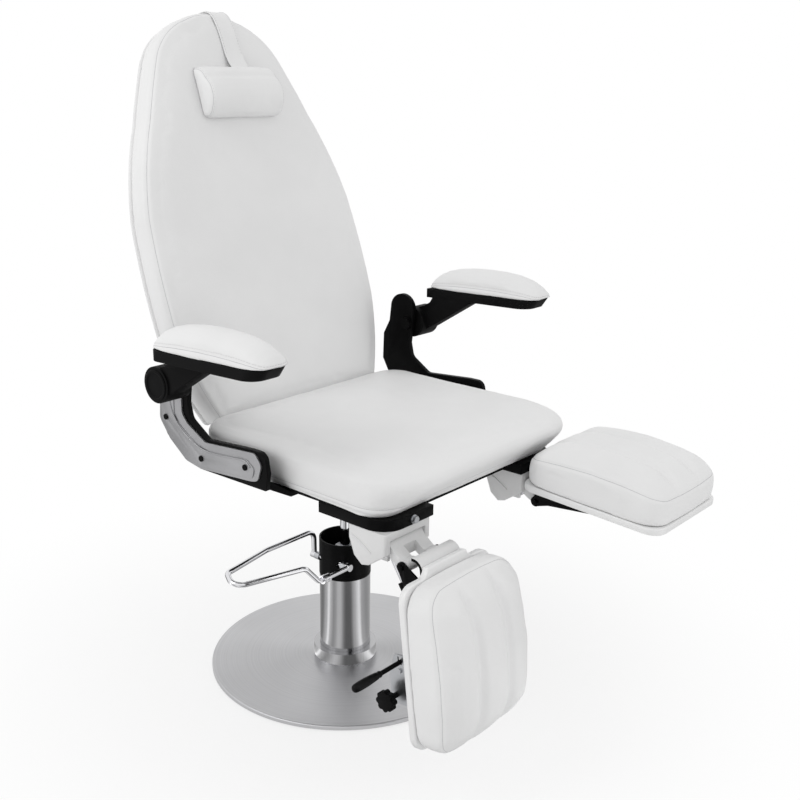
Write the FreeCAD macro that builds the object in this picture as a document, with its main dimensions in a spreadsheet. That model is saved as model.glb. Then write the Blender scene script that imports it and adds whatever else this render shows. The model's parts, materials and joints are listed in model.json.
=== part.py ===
import FreeCAD, Part
import math
import os
import re
import Sketcher
from types import SimpleNamespace
from FreeCAD import Placement, Rotation, Vector

os.makedirs("parts", exist_ok=True)
doc = FreeCAD.newDocument("PedicureChair")

# Frame: the origin is the middle of the floor disc, on the floor. The sitter faces -Y,
# +X is the sitter's left and +Z is up. Lengths are millimetres and angles are degrees.
SIZES = [
    # Floor disc and column
    ("disc_radius", 285, "radius of the floor disc"),
    ("disc_edge", 8, "height of the disc's rim"),
    ("disc_crown", 3, "rise of the disc from its rim to the column"),
    ("disc_round", 3, "rounding of the disc's rim"),
    ("foot_radius", 70, "radius of the flat top of the disc"),
    ("ring_height", 3, "height of the rubber ring under the disc"),
    ("ring_width", 10, "width of the rubber ring"),
    ("ring_inset", 5, "distance of the rubber ring from the rim"),
    ("column_radius", 53.75, "outer radius of the column"),
    ("column_wall", 3, "wall of the column"),
    ("column_height", 190, "height of the column above the disc"),
    ("flange_radius", 64.7, "radius of the column's foot flange"),
    ("flange_thick", 8, "thickness of the foot flange"),
    ("screw_circle", 59.2, "radius of the circle of foot screws"),
    ("screw_radius", 3, "radius of the foot screws"),
    ("screw_head", 6, "radius of the foot screws' countersunk heads"),
    ("screw_depth", 6, "depth of the foot screws in the flange"),
    ("screw_count", 4, "number of foot screws"),
    ("collar_radius", 67, "outer radius of the foot collar"),
    ("collar_wall", 2, "wall of the foot collar"),
    ("collar_height", 26, "height of the foot collar"),
    ("fit", 0.05, "radial clearance of a running fit"),
    ("turn_gap", 0.3, "clearance between faces that turn or slide past each other"),
    # Pump
    ("housing_radius", 54.5, "outer radius of the pump housing"),
    ("housing_wall", 3, "wall of the pump housing"),
    ("housing_height", 80, "height of the pump housing above the column"),
    ("spigot_length", 14, "length of the housing's spigot in the column"),
    ("barrel_radius", 21, "outer radius of the hydraulic cylinder"),
    ("barrel_bottom", 10, "thickness of the cylinder's closed bottom"),
    ("barrel_height", 236, "height of the hydraulic cylinder"),
    ("gland_height", 12, "height of the gland on the cylinder"),
    ("piston_radius", 16, "radius of the ram's piston end"),
    ("piston_height", 20, "height of the piston end"),
    ("ram_radius", 10.5, "radius of the ram"),
    ("ram_bottom", 95, "height of the ram's lower end, halfway up its travel"),
    ("head_radius", 28, "radius of the ram head"),
    ("head_height", 8, "thickness of the ram head"),
    # Pedal
    ("shaft_x", -42, "place of the pedal shaft across the chair"),
    ("shaft_z", 241, "height of the pedal shaft"),
    ("shaft_radius", 4.5, "radius of the pedal shaft"),
    ("bushing_radius", 8, "outer radius of the pedal bushings"),
    ("bushing_inner", 31, "inner end of the pedal bushings along the shaft"),
    ("bushing_outer", 43.2, "outer end of the pedal bushings along the shaft"),
    ("hub_radius", 7.5, "radius of the pedal hubs"),
    ("hub_length", 11.5, "length of a pedal hub"),
    ("bar_radius", 5.5, "radius of the pedal bar"),
    ("bar_bend", 20, "bend radius of the pedal bar"),
    ("pedal_reach", 331, "reach of the pedal's toe from the column's axis"),
    ("pedal_lift", 53, "height of the pedal's toe above its shaft"),
    ("pedal_rear_run", 138, "length of the pedal's rear run"),
    ("toe_slant", 24, "distance that the toe's rear end lies nearer to the column"),
    ("toe_rear", 19, "rear end of the toe"),
    ("toe_front", -26, "front end of the toe"),
    ("pedal_rise_end", 58, "distance from the clamp to the upper end of the front run's rise"),
    ("pedal_rise_start", 18, "distance from the clamp to the lower end of the front run's rise"),
    ("clamp_radius", 9, "outer radius of the pedal clamp"),
    ("clamp_length", 18, "length of the pedal clamp"),
    ("clamp_x", -110, "place of the pedal clamp across the chair"),
    ("clamp_screw", 2.5, "radius of the clamp's set screws"),
    # Seat frame
    ("frame_level", 470, "height of the underside of the seat frame"),
    ("frame_height", 20, "height of the frame tubes"),
    ("rail_inner", 105, "inner side of the long frame tubes"),
    ("rail_width", 30, "width of the frame tubes"),
    ("tube_wall", 2, "wall of the long frame tubes"),
    ("frame_front", -300, "front end of the frame"),
    ("frame_rear", 165, "rear end of the long frame tubes"),
    ("cross_rear", 80, "front side of the rear cross tube"),
    ("plate_half", 80, "half of the side of the square hub plate"),
    ("plate_thick", 8, "thickness of the hub plate"),
    ("swivel_radius", 22, "outer radius of the swivel hub"),
    ("outrigger_front", -114, "front side of the arm outriggers"),
    ("outrigger_width", 54, "width of the arm outriggers"),
    ("outrigger_thick", 10, "thickness of the arm outriggers"),
    ("outrigger_run", 51, "width over which an outrigger rises to its side plate"),
    # Seat cushion
    ("board_thick", 10, "thickness of the seat board"),
    ("seat_half", 269, "half of the width of the cushion's base"),
    ("seat_front", -337, "front edge of the cushion's base"),
    ("seat_rear", 112, "rear edge of the cushion"),
    ("seat_bulge", 20, "distance that the cushion's sides stand out over the base"),
    ("seat_corner", 50, "corner radius of the cushion's base"),
    ("seat_nose", 55, "distance that the front roll stands out over the base"),
    ("seat_thick", 84, "thickness of the cushion at its crown"),
    ("board_inset", 8, "distance of the seat board's edge inside the cushion"),
    ("board_front_inset", 24, "distance of the seat board's front edge inside the cushion"),
    # Leg mounts
    ("mount_inset", 7, "distance of the mounts' outer side inside the cushion's base"),
    ("mount_front", -343, "front face of the leg mounts"),
    ("mount_rear", -184, "rear face of the leg mounts"),
    ("mount_corner", 45, "radius of the mounts' outer front corner"),
    ("mount_bolt_x", 190, "place of the bolt in a mount's front face"),
    ("mount_bolt_radius", 4, "radius of the mount bolts"),
    ("mount_bolt_depth", 20, "depth of the mount bolts"),
    ("bolt_radius", 8, "radius of the pivot bolts"),
    ("bolt_head_radius", 13, "radius of the pivot bolts' heads and nuts"),
    ("bolt_head_thick", 8, "thickness of the pivot bolts' heads and nuts"),
    # Side plates
    ("side_gap", 24, "gap between the cushion's side and the side plates"),
    ("plate_foot", 508, "height of the lower edge of the side plates"),
    ("side_thick", 10, "thickness of the side plates"),
    ("plate_corner", 18, "radius of the side plates' corners"),
    ("cover_corner", 14, "radius of the cover plates' tighter corners"),
    ("cover_bend", 20, "radius of the cover plates' wider corners"),
    ("band_corner", 10, "radius of the corners of the covers' raised bands"),
    ("cover_thick", 4, "thickness of the cover plates"),
    ("cover_step", 2, "height of the raised band on the cover plates"),
    ("lobe_radius", 33, "radius of the side plates' top lobe"),
    ("lobe_y", 118, "place of the top lobe"),
    ("lobe_z", 705, "height of the top lobe"),
    ("plate_screw", 3, "radius of the side plates' screws"),
    ("plate_screw_head", 5.5, "radius of the screws' heads"),
    ("plate_screw_rise", 2, "height of the screws' heads"),
    # Armrests
    ("arm_y", 103, "place of the armrest pivot"),
    ("arm_z", 673, "height of the armrest pivot"),
    ("arm_hub_radius", 34, "radius of the armrest hub"),
    ("arm_hub_reach", 72, "outer face of the armrest hub from the side plate's inner face"),
    ("arm_hub_wall", 5, "wall of the armrest hub over its pivot"),
    ("arm_neck_start", 32, "inner face of the armrest's neck from the side plate's inner face"),
    ("arm_neck_thick", 36, "thickness of the armrest's neck"),
    ("tray_half", 38.5, "half of the width of the tray under the arm pad"),
    ("tray_thick", 20, "thickness of the tray under the arm pad"),
    ("arm_pad_start", 70.5, "middle of the arm pad from the side plate's inner face"),
    ("arm_pad_half", 43.5, "half of the width of the arm pad"),
    ("arm_pad_rise", 50, "height of the arm pad over its tray"),
    ("tray_rear_z", 752.4, "height of the tray's top at its rear end"),
    ("tray_front_z", 762, "height of the tray's top at its front end"),
    ("tray_rear_y", 73, "rear end of the tray"),
    ("tray_front_y", -212, "front end of the tray"),
    ("tray_slant", 14, "distance that the tray's front end slants back"),
    ("tray_corner", 26, "radius of the tray's corners"),
    ("arm_neck_front", -33, "front end of the armrest's neck under the tray"),
    ("arm_neck_rear", 52, "rear end of the armrest's neck under the tray"),
    # Back
    ("back_y", 123, "place of the back's lower front edge"),
    ("back_z", 580, "height of the back's lower front edge"),
    ("recline", 18.84, "angle of the back from upright"),
    ("back_length", 791, "length of the back"),
    ("back_over", 10, "distance that the back's half width exceeds the cushion's base"),
    ("back_pad", 50, "thickness of the back's cushion at its seam"),
    ("back_board", 12, "thickness of the back's rear board"),
    ("back_crown", 12, "rise of the back's cushion over its seam"),
    ("back_foot", 22, "distance that the back reaches down behind the seat cushion"),
    ("recline_depth", 45, "depth of the recline pivot behind the back's front plane"),
    ("recline_drop", 48, "distance of the recline pivot below the back's lower edge"),
    ("recline_eye", 14, "radius of the eyes at the recline pivot"),
    ("recline_arm_x", 120, "place of the recline arms across the chair"),
    ("recline_arm_thick", 8, "thickness of the recline arms"),
    ("recline_arm_length", 230, "height that the recline arms reach up the board"),
    ("lug_thick", 6, "thickness of the lugs beside the recline arms"),
    # Headrest
    ("pillow_middle", 4, "middle of the pillow across the chair"),
    ("pillow_half", 99, "half of the length of the pillow"),
    ("pillow_low", 568, "lower edge of the pillow up the back"),
    ("pillow_high", 678, "upper edge of the pillow up the back"),
    ("pillow_depth", 60, "depth of the pillow"),
    ("strap_middle", 22, "middle of the strap across the chair"),
    ("strap_width", 46, "width of the strap"),
    ("strap_thick", 2.5, "thickness of the strap"),
    ("strap_rear_low", 640, "lower end of the strap on the back's rear"),
    # Leg rests, placed in a frame of their own at the hinge:
    # across the chair, along the rest to its foot end, and up from the hinge towards the pad
    ("leg_x", 201, "middle of a leg rest across the chair"),
    ("swing_y", -285, "place of the bolt that a leg rest swings on"),
    ("hinge_y", -368.4, "place of the leg rest's hinge"),
    ("hinge_z", 416.4, "height of the leg rest's hinge"),
    ("tilt_r", 83, "angle of the right leg rest below level"),
    ("tilt_l", 3.3, "angle of the left leg rest below level"),
    ("bracket_half", 61, "half of the width of the leg bracket"),
    ("bracket_rear", -257, "rear edge of the leg bracket"),
    ("bracket_front", -341, "front face of the leg bracket"),
    ("bracket_wall", 5, "wall of the leg bracket"),
    ("bracket_low", 400, "lowest point of the bracket's cheeks"),
    ("slot_half", 46, "half of the width of the bracket's front slot"),
    ("slot_top", 455, "height of the top of the bracket's front slot"),
    ("arm_half", 44, "half of the width of the hinge arm"),
    ("arm_thick", 18, "thickness of the hinge arm"),
    ("fork_half", 16, "half of the width of the gap in the hinge arm's fork"),
    ("barrel_eye", 11, "radius of the hinge arm's eyes"),
    ("trunnion_radius", 5, "radius of the hinge trunnions"),
    ("trunnion_end", 54, "outer end of the hinge trunnions"),
    ("rail_half", 50, "half of the width over the channel rail's sides"),
    ("rail_side", 4, "wall of the channel rail's sides"),
    ("rail_eye", 10, "radius of the channel rail's eyes"),
    ("web_half", 60, "half of the width of the channel rail's web"),
    ("web_thick", 5.7, "thickness of the channel rail's web"),
    ("web_start", 20, "hinge end of the channel rail's web"),
    ("rail_length", 235, "foot end of the channel rail"),
    ("board_level", 49, "height of the leg board's underside over the hinge"),
    ("leg_board_thick", 13.3, "thickness of the leg board"),
    ("leg_half", 119, "half of the width of the leg board"),
    ("leg_length", 297, "foot end of the leg board"),
    ("hood_reach", 23, "distance that the rail's hood stands out behind the hinge"),
    ("hood_radius", 20, "outer radius of the hood's bend"),
    ("hood_tail", 26, "height of the hood's tail over the hinge"),
    ("hood_half", 52, "half of the width of the hood and of the board's neck"),
    ("neck_end", 8, "distance that the board's neck reaches behind the hinge"),
    ("shoulder", 14, "distance from the hinge to the board's shoulders"),
    ("shoulder_corner", 16, "radius of the corners of the board's shoulders"),
    ("leg_corner", 30, "corner radius of the board's foot end"),
    ("pad_rise", 62, "height of the leg pad's seam over the board"),
    ("pad_crown", 26, "rise of the leg pad's middle over its seam"),
    ("slide_wall", 3, "wall of the slide rails"),
    ("slide_start", 60, "hinge end of the slide rails"),
    ("slide_length", 140, "length of the slide rails"),
    # Leg rest fittings
    ("plate_reach", 88, "outer face of the lever plate"),
    ("lever_plate_thick", 3, "thickness of the lever plate"),
    ("lever_plate_start", 140, "hinge end of the lever plate"),
    ("lever_plate_end", 232, "foot end of the lever plate"),
    ("lever_plate_low", -12, "lower edge of the lever plate"),
    ("lever_plate_high", 36, "upper face of the lever plate"),
    ("lever_w", 153, "place of the release lever along the rest"),
    ("lever_n", 13.5, "height of the release lever over the hinge"),
    ("lever_pin_a", 62, "place of the lever's pin across the rest"),
    ("lever_pin_radius", 4, "radius of the lever's pin"),
    ("lever_eye", 8, "radius of the lever's eye"),
    ("lever_rod", 4, "radius of the lever's rod"),
    ("lever_reach", 203, "outer end of the lever's grip"),
    ("grip_length", 66, "length of the lever's grip"),
    ("grip_radius", 8, "radius of the lever's grip"),
    ("lever_swing", 6, "travel of the lever's rod at the lever plate"),
    ("knob_w", 217, "place of the star knob along the rest"),
    ("knob_n", -1.5, "height of the star knob over the hinge"),
    ("knob_inner", 106, "inner face of the star knob"),
    ("knob_thick", 13, "thickness of the star knob"),
    ("knob_radius", 19, "radius over the star knob's lobes"),
    ("knob_lobe", 5.5, "radius of the star knob's lobes"),
    ("knob_lobes", 8, "number of the star knob's lobes"),
    ("knob_shaft", 5, "radius of the star knob's shaft"),
    ("boss_radius", 9, "radius of the threaded boss of the star knob"),
    ("boss_length", 12, "length of the threaded boss of the star knob"),
    ("plate_bolt_on", 16, "distance of the bolt in the lever plate beyond the release lever"),
    ("plate_bolt_n", 11.5, "height of the bolt in the lever plate"),
    ("plate_bolt_radius", 3, "radius of the bolt in the lever plate"),
    ("plate_bolt_head", 4.5, "radius of the head of the bolt in the lever plate"),
    # Gas struts
    ("strut_radius", 9, "radius of the gas strut"),
    ("strut_bore", 7.5, "bore of the gas strut"),
    ("strut_length", 122, "length of the strut's cylinder from its eye"),
    ("strut_rod", 4, "radius of the strut's rod"),
    ("strut_eye", 8, "radius of the strut's eyes"),
    ("strut_eye_half", 7.5, "half of the width of the strut's eyes"),
    ("strut_rod_length", 140, "length of the strut's rod from its eye"),
    ("strut_bolt", 4.5, "radius of the bolt at the strut's foot"),
    ("clevis_half", 10, "half of the gap between the clevis plates at the strut's foot"),
    ("clevis_wall", 5, "thickness of the clevis plates"),
    ("clevis_eye", 9, "radius of the clevis plates' eyes"),
    ("strut_w", 160, "place of the strut's foot along the rest"),
    ("strut_n", 10.5, "height of the strut's foot over the hinge"),
    ("anchor_y", -300, "place of the strut's upper end"),
    ("anchor_z", 405, "height of the strut's upper end"),
    ("anchor_half", 10, "half of the gap between the anchor lugs"),
    ("anchor_wall", 6, "thickness of the anchor lugs"),
]

sheet = doc.addObject("Spreadsheet::Sheet", "Sizes")
for row, (alias, value, meaning) in enumerate(SIZES, start=1):
    sheet.set("A%d" % row, meaning)
    sheet.set("B%d" % row, str(value))
    sheet.setAlias("B%d" % row, alias)
doc.recompute()
S = SimpleNamespace(**{alias: float(sheet.get(alias)) for alias, value, meaning in SIZES})

UNIT_Z = Vector(0, 0, 1)
TURNED = {
    "x": Rotation(Vector(0, 1, 0), 90),
    "y": Rotation(Vector(1, 0, 0), -90),
    "z": Rotation(),
}
SIDES = (("r", -1), ("l", 1))
nodes = []


def node(label, item):
    """Name a finished piece and keep it for export."""
    item.Label = label
    nodes.append(item)
    return item


def bound(expression):
    """The expression with each size name pointed at the sheet."""
    def point(word):
        return "Sizes." + word.group() if hasattr(S, word.group()) else word.group()
    return re.sub(r"[a-z][a-z_0-9]*", point, str(expression))


def primitive(kind, name, at, axis, **sizes):
    """A basic solid whose sizes and place are bound to the sheet."""
    item = doc.addObject("Part::" + kind, name)
    item.Placement = Placement(Vector(), TURNED[axis])
    for key, expression in sizes.items():
        item.setExpression(key, bound(expression))
    for key, expression in zip("xyz", at):
        item.setExpression("Placement.Base." + key, bound(expression))
    return item


def cylinder(name, radius, height, at=("0", "0", "0"), axis="z"):
    return primitive("Cylinder", name, at, axis, Radius=radius, Height=height)


def box(name, at, length, width, height):
    return primitive("Box", name, at, "z", Length=length, Width=width, Height=height)


def joined(kind, name, parts):
    item = doc.addObject("Part::" + kind, name)
    if kind == "Compound":
        item.Links = list(parts)
    else:
        item.Shapes = list(parts)
    return item


def fuse(name, *parts):
    return joined("MultiFuse", name, parts)


def group(name, *parts):
    return joined("Compound", name, parts)


def cut(name, base, *tools):
    item = doc.addObject("Part::Cut", name)
    item.Base = base
    item.Tool = tools[0] if len(tools) == 1 else fuse(name + "_tools", *tools)
    return item


def tube(name, outer, inner, height, at=("0", "0", "0"), axis="z"):
    return cut(name, cylinder(name + "_outer", outer, height, at, axis),
               cylinder(name + "_bore", inner, height, at, axis))


def body(name):
    return doc.addObject("PartDesign::Body", name)


def sketch_on(part, plane, name, level="0"):
    """A sketch on one of the body's own planes, at a level along its normal."""
    support = next(face for face in part.Origin.OriginFeatures if face.Role == plane + "_Plane")
    sketch = part.newObject("Sketcher::SketchObject", name)
    sketch.AttachmentSupport = [(support, "")]
    sketch.MapMode = "FlatFace"
    sketch.setExpression("AttachmentOffset.Base.z", bound(level))
    return sketch


def fix_point(sketch, geometry, point, at):
    """Dimension one point of a sketch from the sketch's origin."""
    for kind, expression in zip(("DistanceX", "DistanceY"), at):
        start = sketch.getPoint(geometry, point)
        value = start.x if kind == "DistanceX" else start.y
        index = sketch.addConstraint(Sketcher.Constraint(kind, -1, 1, geometry, point, value))
        sketch.setExpression("Constraints[%d]" % index, bound(expression))


def outline(sketch, corners):
    """A closed polygon, each of whose corners has two dimensions."""
    first = sketch.GeometryCount
    count = len(corners)
    start = [Vector(100 * math.cos(2 * math.pi * i / count), 100 * math.sin(2 * math.pi * i / count))
             for i in range(count)]
    for i in range(count):
        sketch.addGeometry(Part.LineSegment(start[i], start[(i + 1) % count]), False)
    for i in range(count):
        sketch.addConstraint(Sketcher.Constraint("Coincident", first + i, 2, first + (i + 1) % count, 1))
    for i, corner in enumerate(corners):
        fix_point(sketch, first + i, 1, corner)


def circle(sketch, at, radius):
    index = sketch.addGeometry(Part.Circle(Vector(1, 1, 0), UNIT_Z, 2), False)
    size = sketch.addConstraint(Sketcher.Constraint("Radius", index, 2))
    sketch.setExpression("Constraints[%d]" % size, bound(radius))
    fix_point(sketch, index, 3, at)


def feature(part, kind, name, sketch, **sizes):
    item = part.newObject("PartDesign::" + kind, name)
    item.Profile = sketch
    for key, expression in sizes.items():
        item.setExpression(key, bound(expression))
    return item


def pad(part, sketch, length):
    return feature(part, "Pad", sketch.Name + "_pad", sketch, Length=length)


def pocket(part, sketch, length, upwards=False):
    """Cut along the sketch's normal, or against it."""
    item = feature(part, "Pocket", sketch.Name + "_pocket", sketch, Length=length)
    item.Reversed = upwards
    return item


def revolve(part, sketch, kind="Revolution"):
    item = feature(part, kind, sketch.Name + "_turned", sketch)
    item.ReferenceAxis = (sketch, ["V_Axis"])
    item.Angle = 360
    return item


def turned(name, corners):
    """A body turned about the Z axis from a profile of radius and height."""
    part = body(name)
    sketch = sketch_on(part, "XZ", name + "_profile")
    outline(sketch, corners)
    revolve(part, sketch)
    return part


def slab(name, plane, corners, level, thickness):
    """A body padded from a polygon."""
    part = body(name)
    sketch = sketch_on(part, plane, name + "_profile", level)
    outline(sketch, corners)
    pad(part, sketch, thickness)
    return part


def more(part, plane, name, level, thickness, corners=(), circles=()):
    """Add another pad of polygons and circles to a body."""
    sketch = sketch_on(part, plane, name, level)
    if corners:
        outline(sketch, corners)
    for at, radius in circles:
        circle(sketch, at, radius)
    pad(part, sketch, thickness)


def drill(part, plane, name, level, depth, circles):
    """Cut round holes from a level against the plane's normal."""
    sketch = sketch_on(part, plane, name, level)
    for at, radius in circles:
        circle(sketch, at, radius)
    return pocket(part, sketch, depth)


def round_edges(part, name, radius, wanted):
    """Round the edges of the body's last feature that a test picks."""
    doc.recompute()
    last = part.Tip
    picked = ["Edge%d" % number for number, edge in enumerate(last.Shape.Edges, start=1) if wanted(edge)]
    item = part.newObject("PartDesign::Fillet", name)
    item.Base = (last, picked)
    item.setExpression("Radius", bound(radius))
    return item


def round_corners(part, sketch_name, radius, *corners):
    """Round the straight edges that stand on the numbered corners of a sketch."""
    doc.recompute()
    sketch = doc.getObject(sketch_name)
    normal = sketch.Placement.Rotation.multVec(UNIT_Z)
    feet = [sketch.Placement.multVec(sketch.Geometry[index].StartPoint) for index in corners]

    def stands(edge):
        return any(all((end.Point - foot).cross(normal).Length < 1e-6 for end in edge.Vertexes)
                   for foot in feet)
    return round_edges(part, "%s_round_%d" % (sketch_name, corners[0]), radius, stands)


def mirrored(side, expression):
    """A place along X on one side of the chair."""
    return expression if side > 0 else "-(%s)" % expression


def outward(side, inner, outer):
    """The start along X of what lies between two distances on one side of the chair."""
    return inner if side > 0 else "-(%s)" % outer


def bent_wire(points, radii):
    """Straight runs between the points, joined by tangent arcs."""
    edges = []
    start = points[0]
    for before, corner, after, radius in zip(points, points[1:], points[2:], radii):
        come = (before - corner).normalize()
        leave = (after - corner).normalize()
        half = come.getAngle(leave) / 2
        reach = radius / math.tan(half)
        middle = corner + (come + leave).normalize() * (radius / math.sin(half) - radius)
        arc_start = corner + come * reach
        arc_end = corner + leave * reach
        edges.append(Part.LineSegment(start, arc_start).toShape())
        edges.append(Part.Arc(arc_start, middle, arc_end).toShape())
        start = arc_end
    edges.append(Part.LineSegment(start, points[-1]).toShape())
    return Part.Wire(edges)


def shaped(name, shape):
    item = doc.addObject("Part::Feature", name)
    item.Shape = shape
    return item


def closed_wire(points, middles):
    """Edges round the points: an arc through a middle point, or a line where it is None."""
    edges = []
    for i, middle in enumerate(middles):
        start = points[i]
        end = points[(i + 1) % len(points)]
        if middle is None:
            edges.append(Part.LineSegment(start, end).toShape())
        else:
            edges.append(Part.Arc(start, middle, end).toShape())
    return Part.Wire(edges)


def loft(name, wires):
    """A closed solid through the outlines, with smooth sides of the third degree."""
    return shaped(name, Part.makeLoft(wires, True, False, False, 3))


# Distances along X from the chair's middle that several pieces share

SIDE_INNER = "(seat_half + seat_bulge + side_gap)"
SIDE_FACE = "(%s + side_thick)" % SIDE_INNER
COVER_FACE = "(%s + cover_thick + cover_step)" % SIDE_FACE
ARM_HUB_OUTER = "(%s + arm_hub_reach)" % SIDE_INNER
ARM_NECK_INNER = "(%s + arm_neck_start)" % SIDE_INNER
ARM_PAD_MIDDLE = "(%s + arm_pad_start)" % SIDE_INNER
MOUNT_INNER = "(rail_inner + rail_width)"
MOUNT_OUTER = "(seat_half - mount_inset)"


# Floor disc

DISC_TOP = "ring_height + disc_edge + disc_crown"


def screw_places():
    count = int(S.screw_count)
    return [("screw_circle * cos(%d * 360 / screw_count)" % i,
             "screw_circle * sin(%d * 360 / screw_count)" % i) for i in range(count)]


def floor_disc():
    node("base_ring", tube("BaseRing", "disc_radius - ring_inset", "disc_radius - ring_inset - ring_width",
                           "ring_height"))
    disc = turned("BaseDisc", [
        ("0", "ring_height"),
        ("disc_radius", "ring_height"),
        ("disc_radius", "ring_height + disc_edge"),
        ("foot_radius", DISC_TOP),
        ("0", DISC_TOP),
    ])

    def rim(edge):
        return edge.Closed and abs(edge.BoundBox.ZMin - S.ring_height - S.disc_edge) < 1e-6
    round_edges(disc, "BaseDisc_rim", "disc_round", rim)
    hole = sketch_on(disc, "XZ", "BaseDisc_screw_hole")
    hole.setExpression("AttachmentOffset.Base.x", bound("screw_circle"))
    outline(hole, [
        ("0", "ring_height"),
        ("screw_head", "ring_height"),
        ("screw_radius", "ring_height + screw_head - screw_radius"),
        ("screw_radius", DISC_TOP),
        ("0", DISC_TOP),
    ])
    groove = revolve(disc, hole, "Groove")
    pattern = disc.newObject("PartDesign::PolarPattern", "BaseDisc_screw_holes")
    pattern.Originals = [groove]
    pattern.Axis = (next(line for line in disc.Origin.OriginFeatures if line.Role == "Z_Axis"), [""])
    pattern.Angle = 360
    pattern.setExpression("Occurrences", bound("screw_count"))
    disc.Tip = pattern
    node("base_disc", disc)

    screws = []
    for i, (x, y) in enumerate(screw_places()):
        head = primitive("Cone", "BaseScrewHead%d" % i, (x, y, "ring_height"), "z",
                         Radius1="screw_head", Radius2="screw_radius", Height="screw_head - screw_radius")
        shank = cylinder("BaseScrewShank%d" % i, "screw_radius",
                         DISC_TOP + " + screw_depth - ring_height", (x, y, "ring_height"))
        screws.append(fuse("BaseScrew%d" % i, head, shank))
    node("base_screws", group("BaseScrews", *screws))


# Column and pump

COLUMN_TOP = DISC_TOP + " + column_height"


def column():
    inner = "column_radius - column_wall"
    tube_body = turned("ColumnTube", [
        (inner, DISC_TOP),
        ("flange_radius", DISC_TOP),
        ("flange_radius", DISC_TOP + " + flange_thick"),
        ("column_radius", DISC_TOP + " + flange_thick"),
        ("column_radius", COLUMN_TOP),
        (inner, COLUMN_TOP),
    ])
    holes = sketch_on(tube_body, "XY", "ColumnTube_screw_holes", DISC_TOP)
    for place in screw_places():
        circle(holes, place, "screw_radius")
    pocket(tube_body, holes, "screw_depth", upwards=True)
    node("column_tube", tube_body)
    lip = DISC_TOP + " + collar_height"
    node("column_collar", turned("ColumnCollar", [
        ("collar_radius - collar_wall", DISC_TOP),
        ("collar_radius", DISC_TOP),
        ("collar_radius", lip),
        ("column_radius + turn_gap", lip),
        ("column_radius + turn_gap", lip + " - collar_wall"),
        ("collar_radius - collar_wall", lip + " - collar_wall"),
    ]))


def pump():
    bore = "housing_radius - housing_wall"
    spigot = "column_radius - column_wall - fit"
    floor = COLUMN_TOP + " + housing_wall"
    housing = turned("PumpHousing", [
        (spigot + " - housing_wall", COLUMN_TOP + " - spigot_length"),
        (spigot, COLUMN_TOP + " - spigot_length"),
        (spigot, COLUMN_TOP),
        ("housing_radius", COLUMN_TOP),
        ("housing_radius", COLUMN_TOP + " + housing_height"),
        (bore, COLUMN_TOP + " + housing_height"),
        (bore, floor),
        (spigot + " - housing_wall", floor),
    ])
    drill(housing, "XZ", "PumpHousing_shaft_bore", "housing_radius", "housing_radius * 2",
          [(("shaft_x", "shaft_z"), "bushing_radius")])
    node("pump_housing", housing)
    top = DISC_TOP + " + barrel_height"
    node("pump_cylinder", turned("PumpCylinder", [
        ("0", DISC_TOP),
        ("barrel_radius", DISC_TOP),
        ("barrel_radius", top),
        ("piston_radius + fit", top),
        ("piston_radius + fit", DISC_TOP + " + barrel_bottom"),
        ("0", DISC_TOP + " + barrel_bottom"),
    ]))
    node("pump_gland", tube("PumpGland", "barrel_radius", "ram_radius + fit", "gland_height", ("0", "0", top)))
    bushings = []
    for name, start in (("Front", "-bushing_outer"), ("Rear", "bushing_inner")):
        bushings.append(tube("Bushing" + name, "bushing_radius", "shaft_radius + fit",
                             "bushing_outer - bushing_inner", ("shaft_x", start, "shaft_z"), "y"))
    node("pedal_bushings", group("PedalBushings", *bushings))


HEAD_TOP = "(frame_level - 3 * turn_gap)"


def lift():
    seat_top = "frame_level + frame_height - turn_gap"
    node("lift_ram", turned("LiftRam", [
        ("0", "ram_bottom"),
        ("piston_radius", "ram_bottom"),
        ("piston_radius", "ram_bottom + piston_height"),
        ("ram_radius", "ram_bottom + piston_height"),
        ("ram_radius", HEAD_TOP + " - head_height"),
        ("head_radius", HEAD_TOP + " - head_height"),
        ("head_radius", HEAD_TOP),
        ("ram_radius", HEAD_TOP),
        ("ram_radius", seat_top),
        ("0", seat_top),
    ]))


# Pedal


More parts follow.
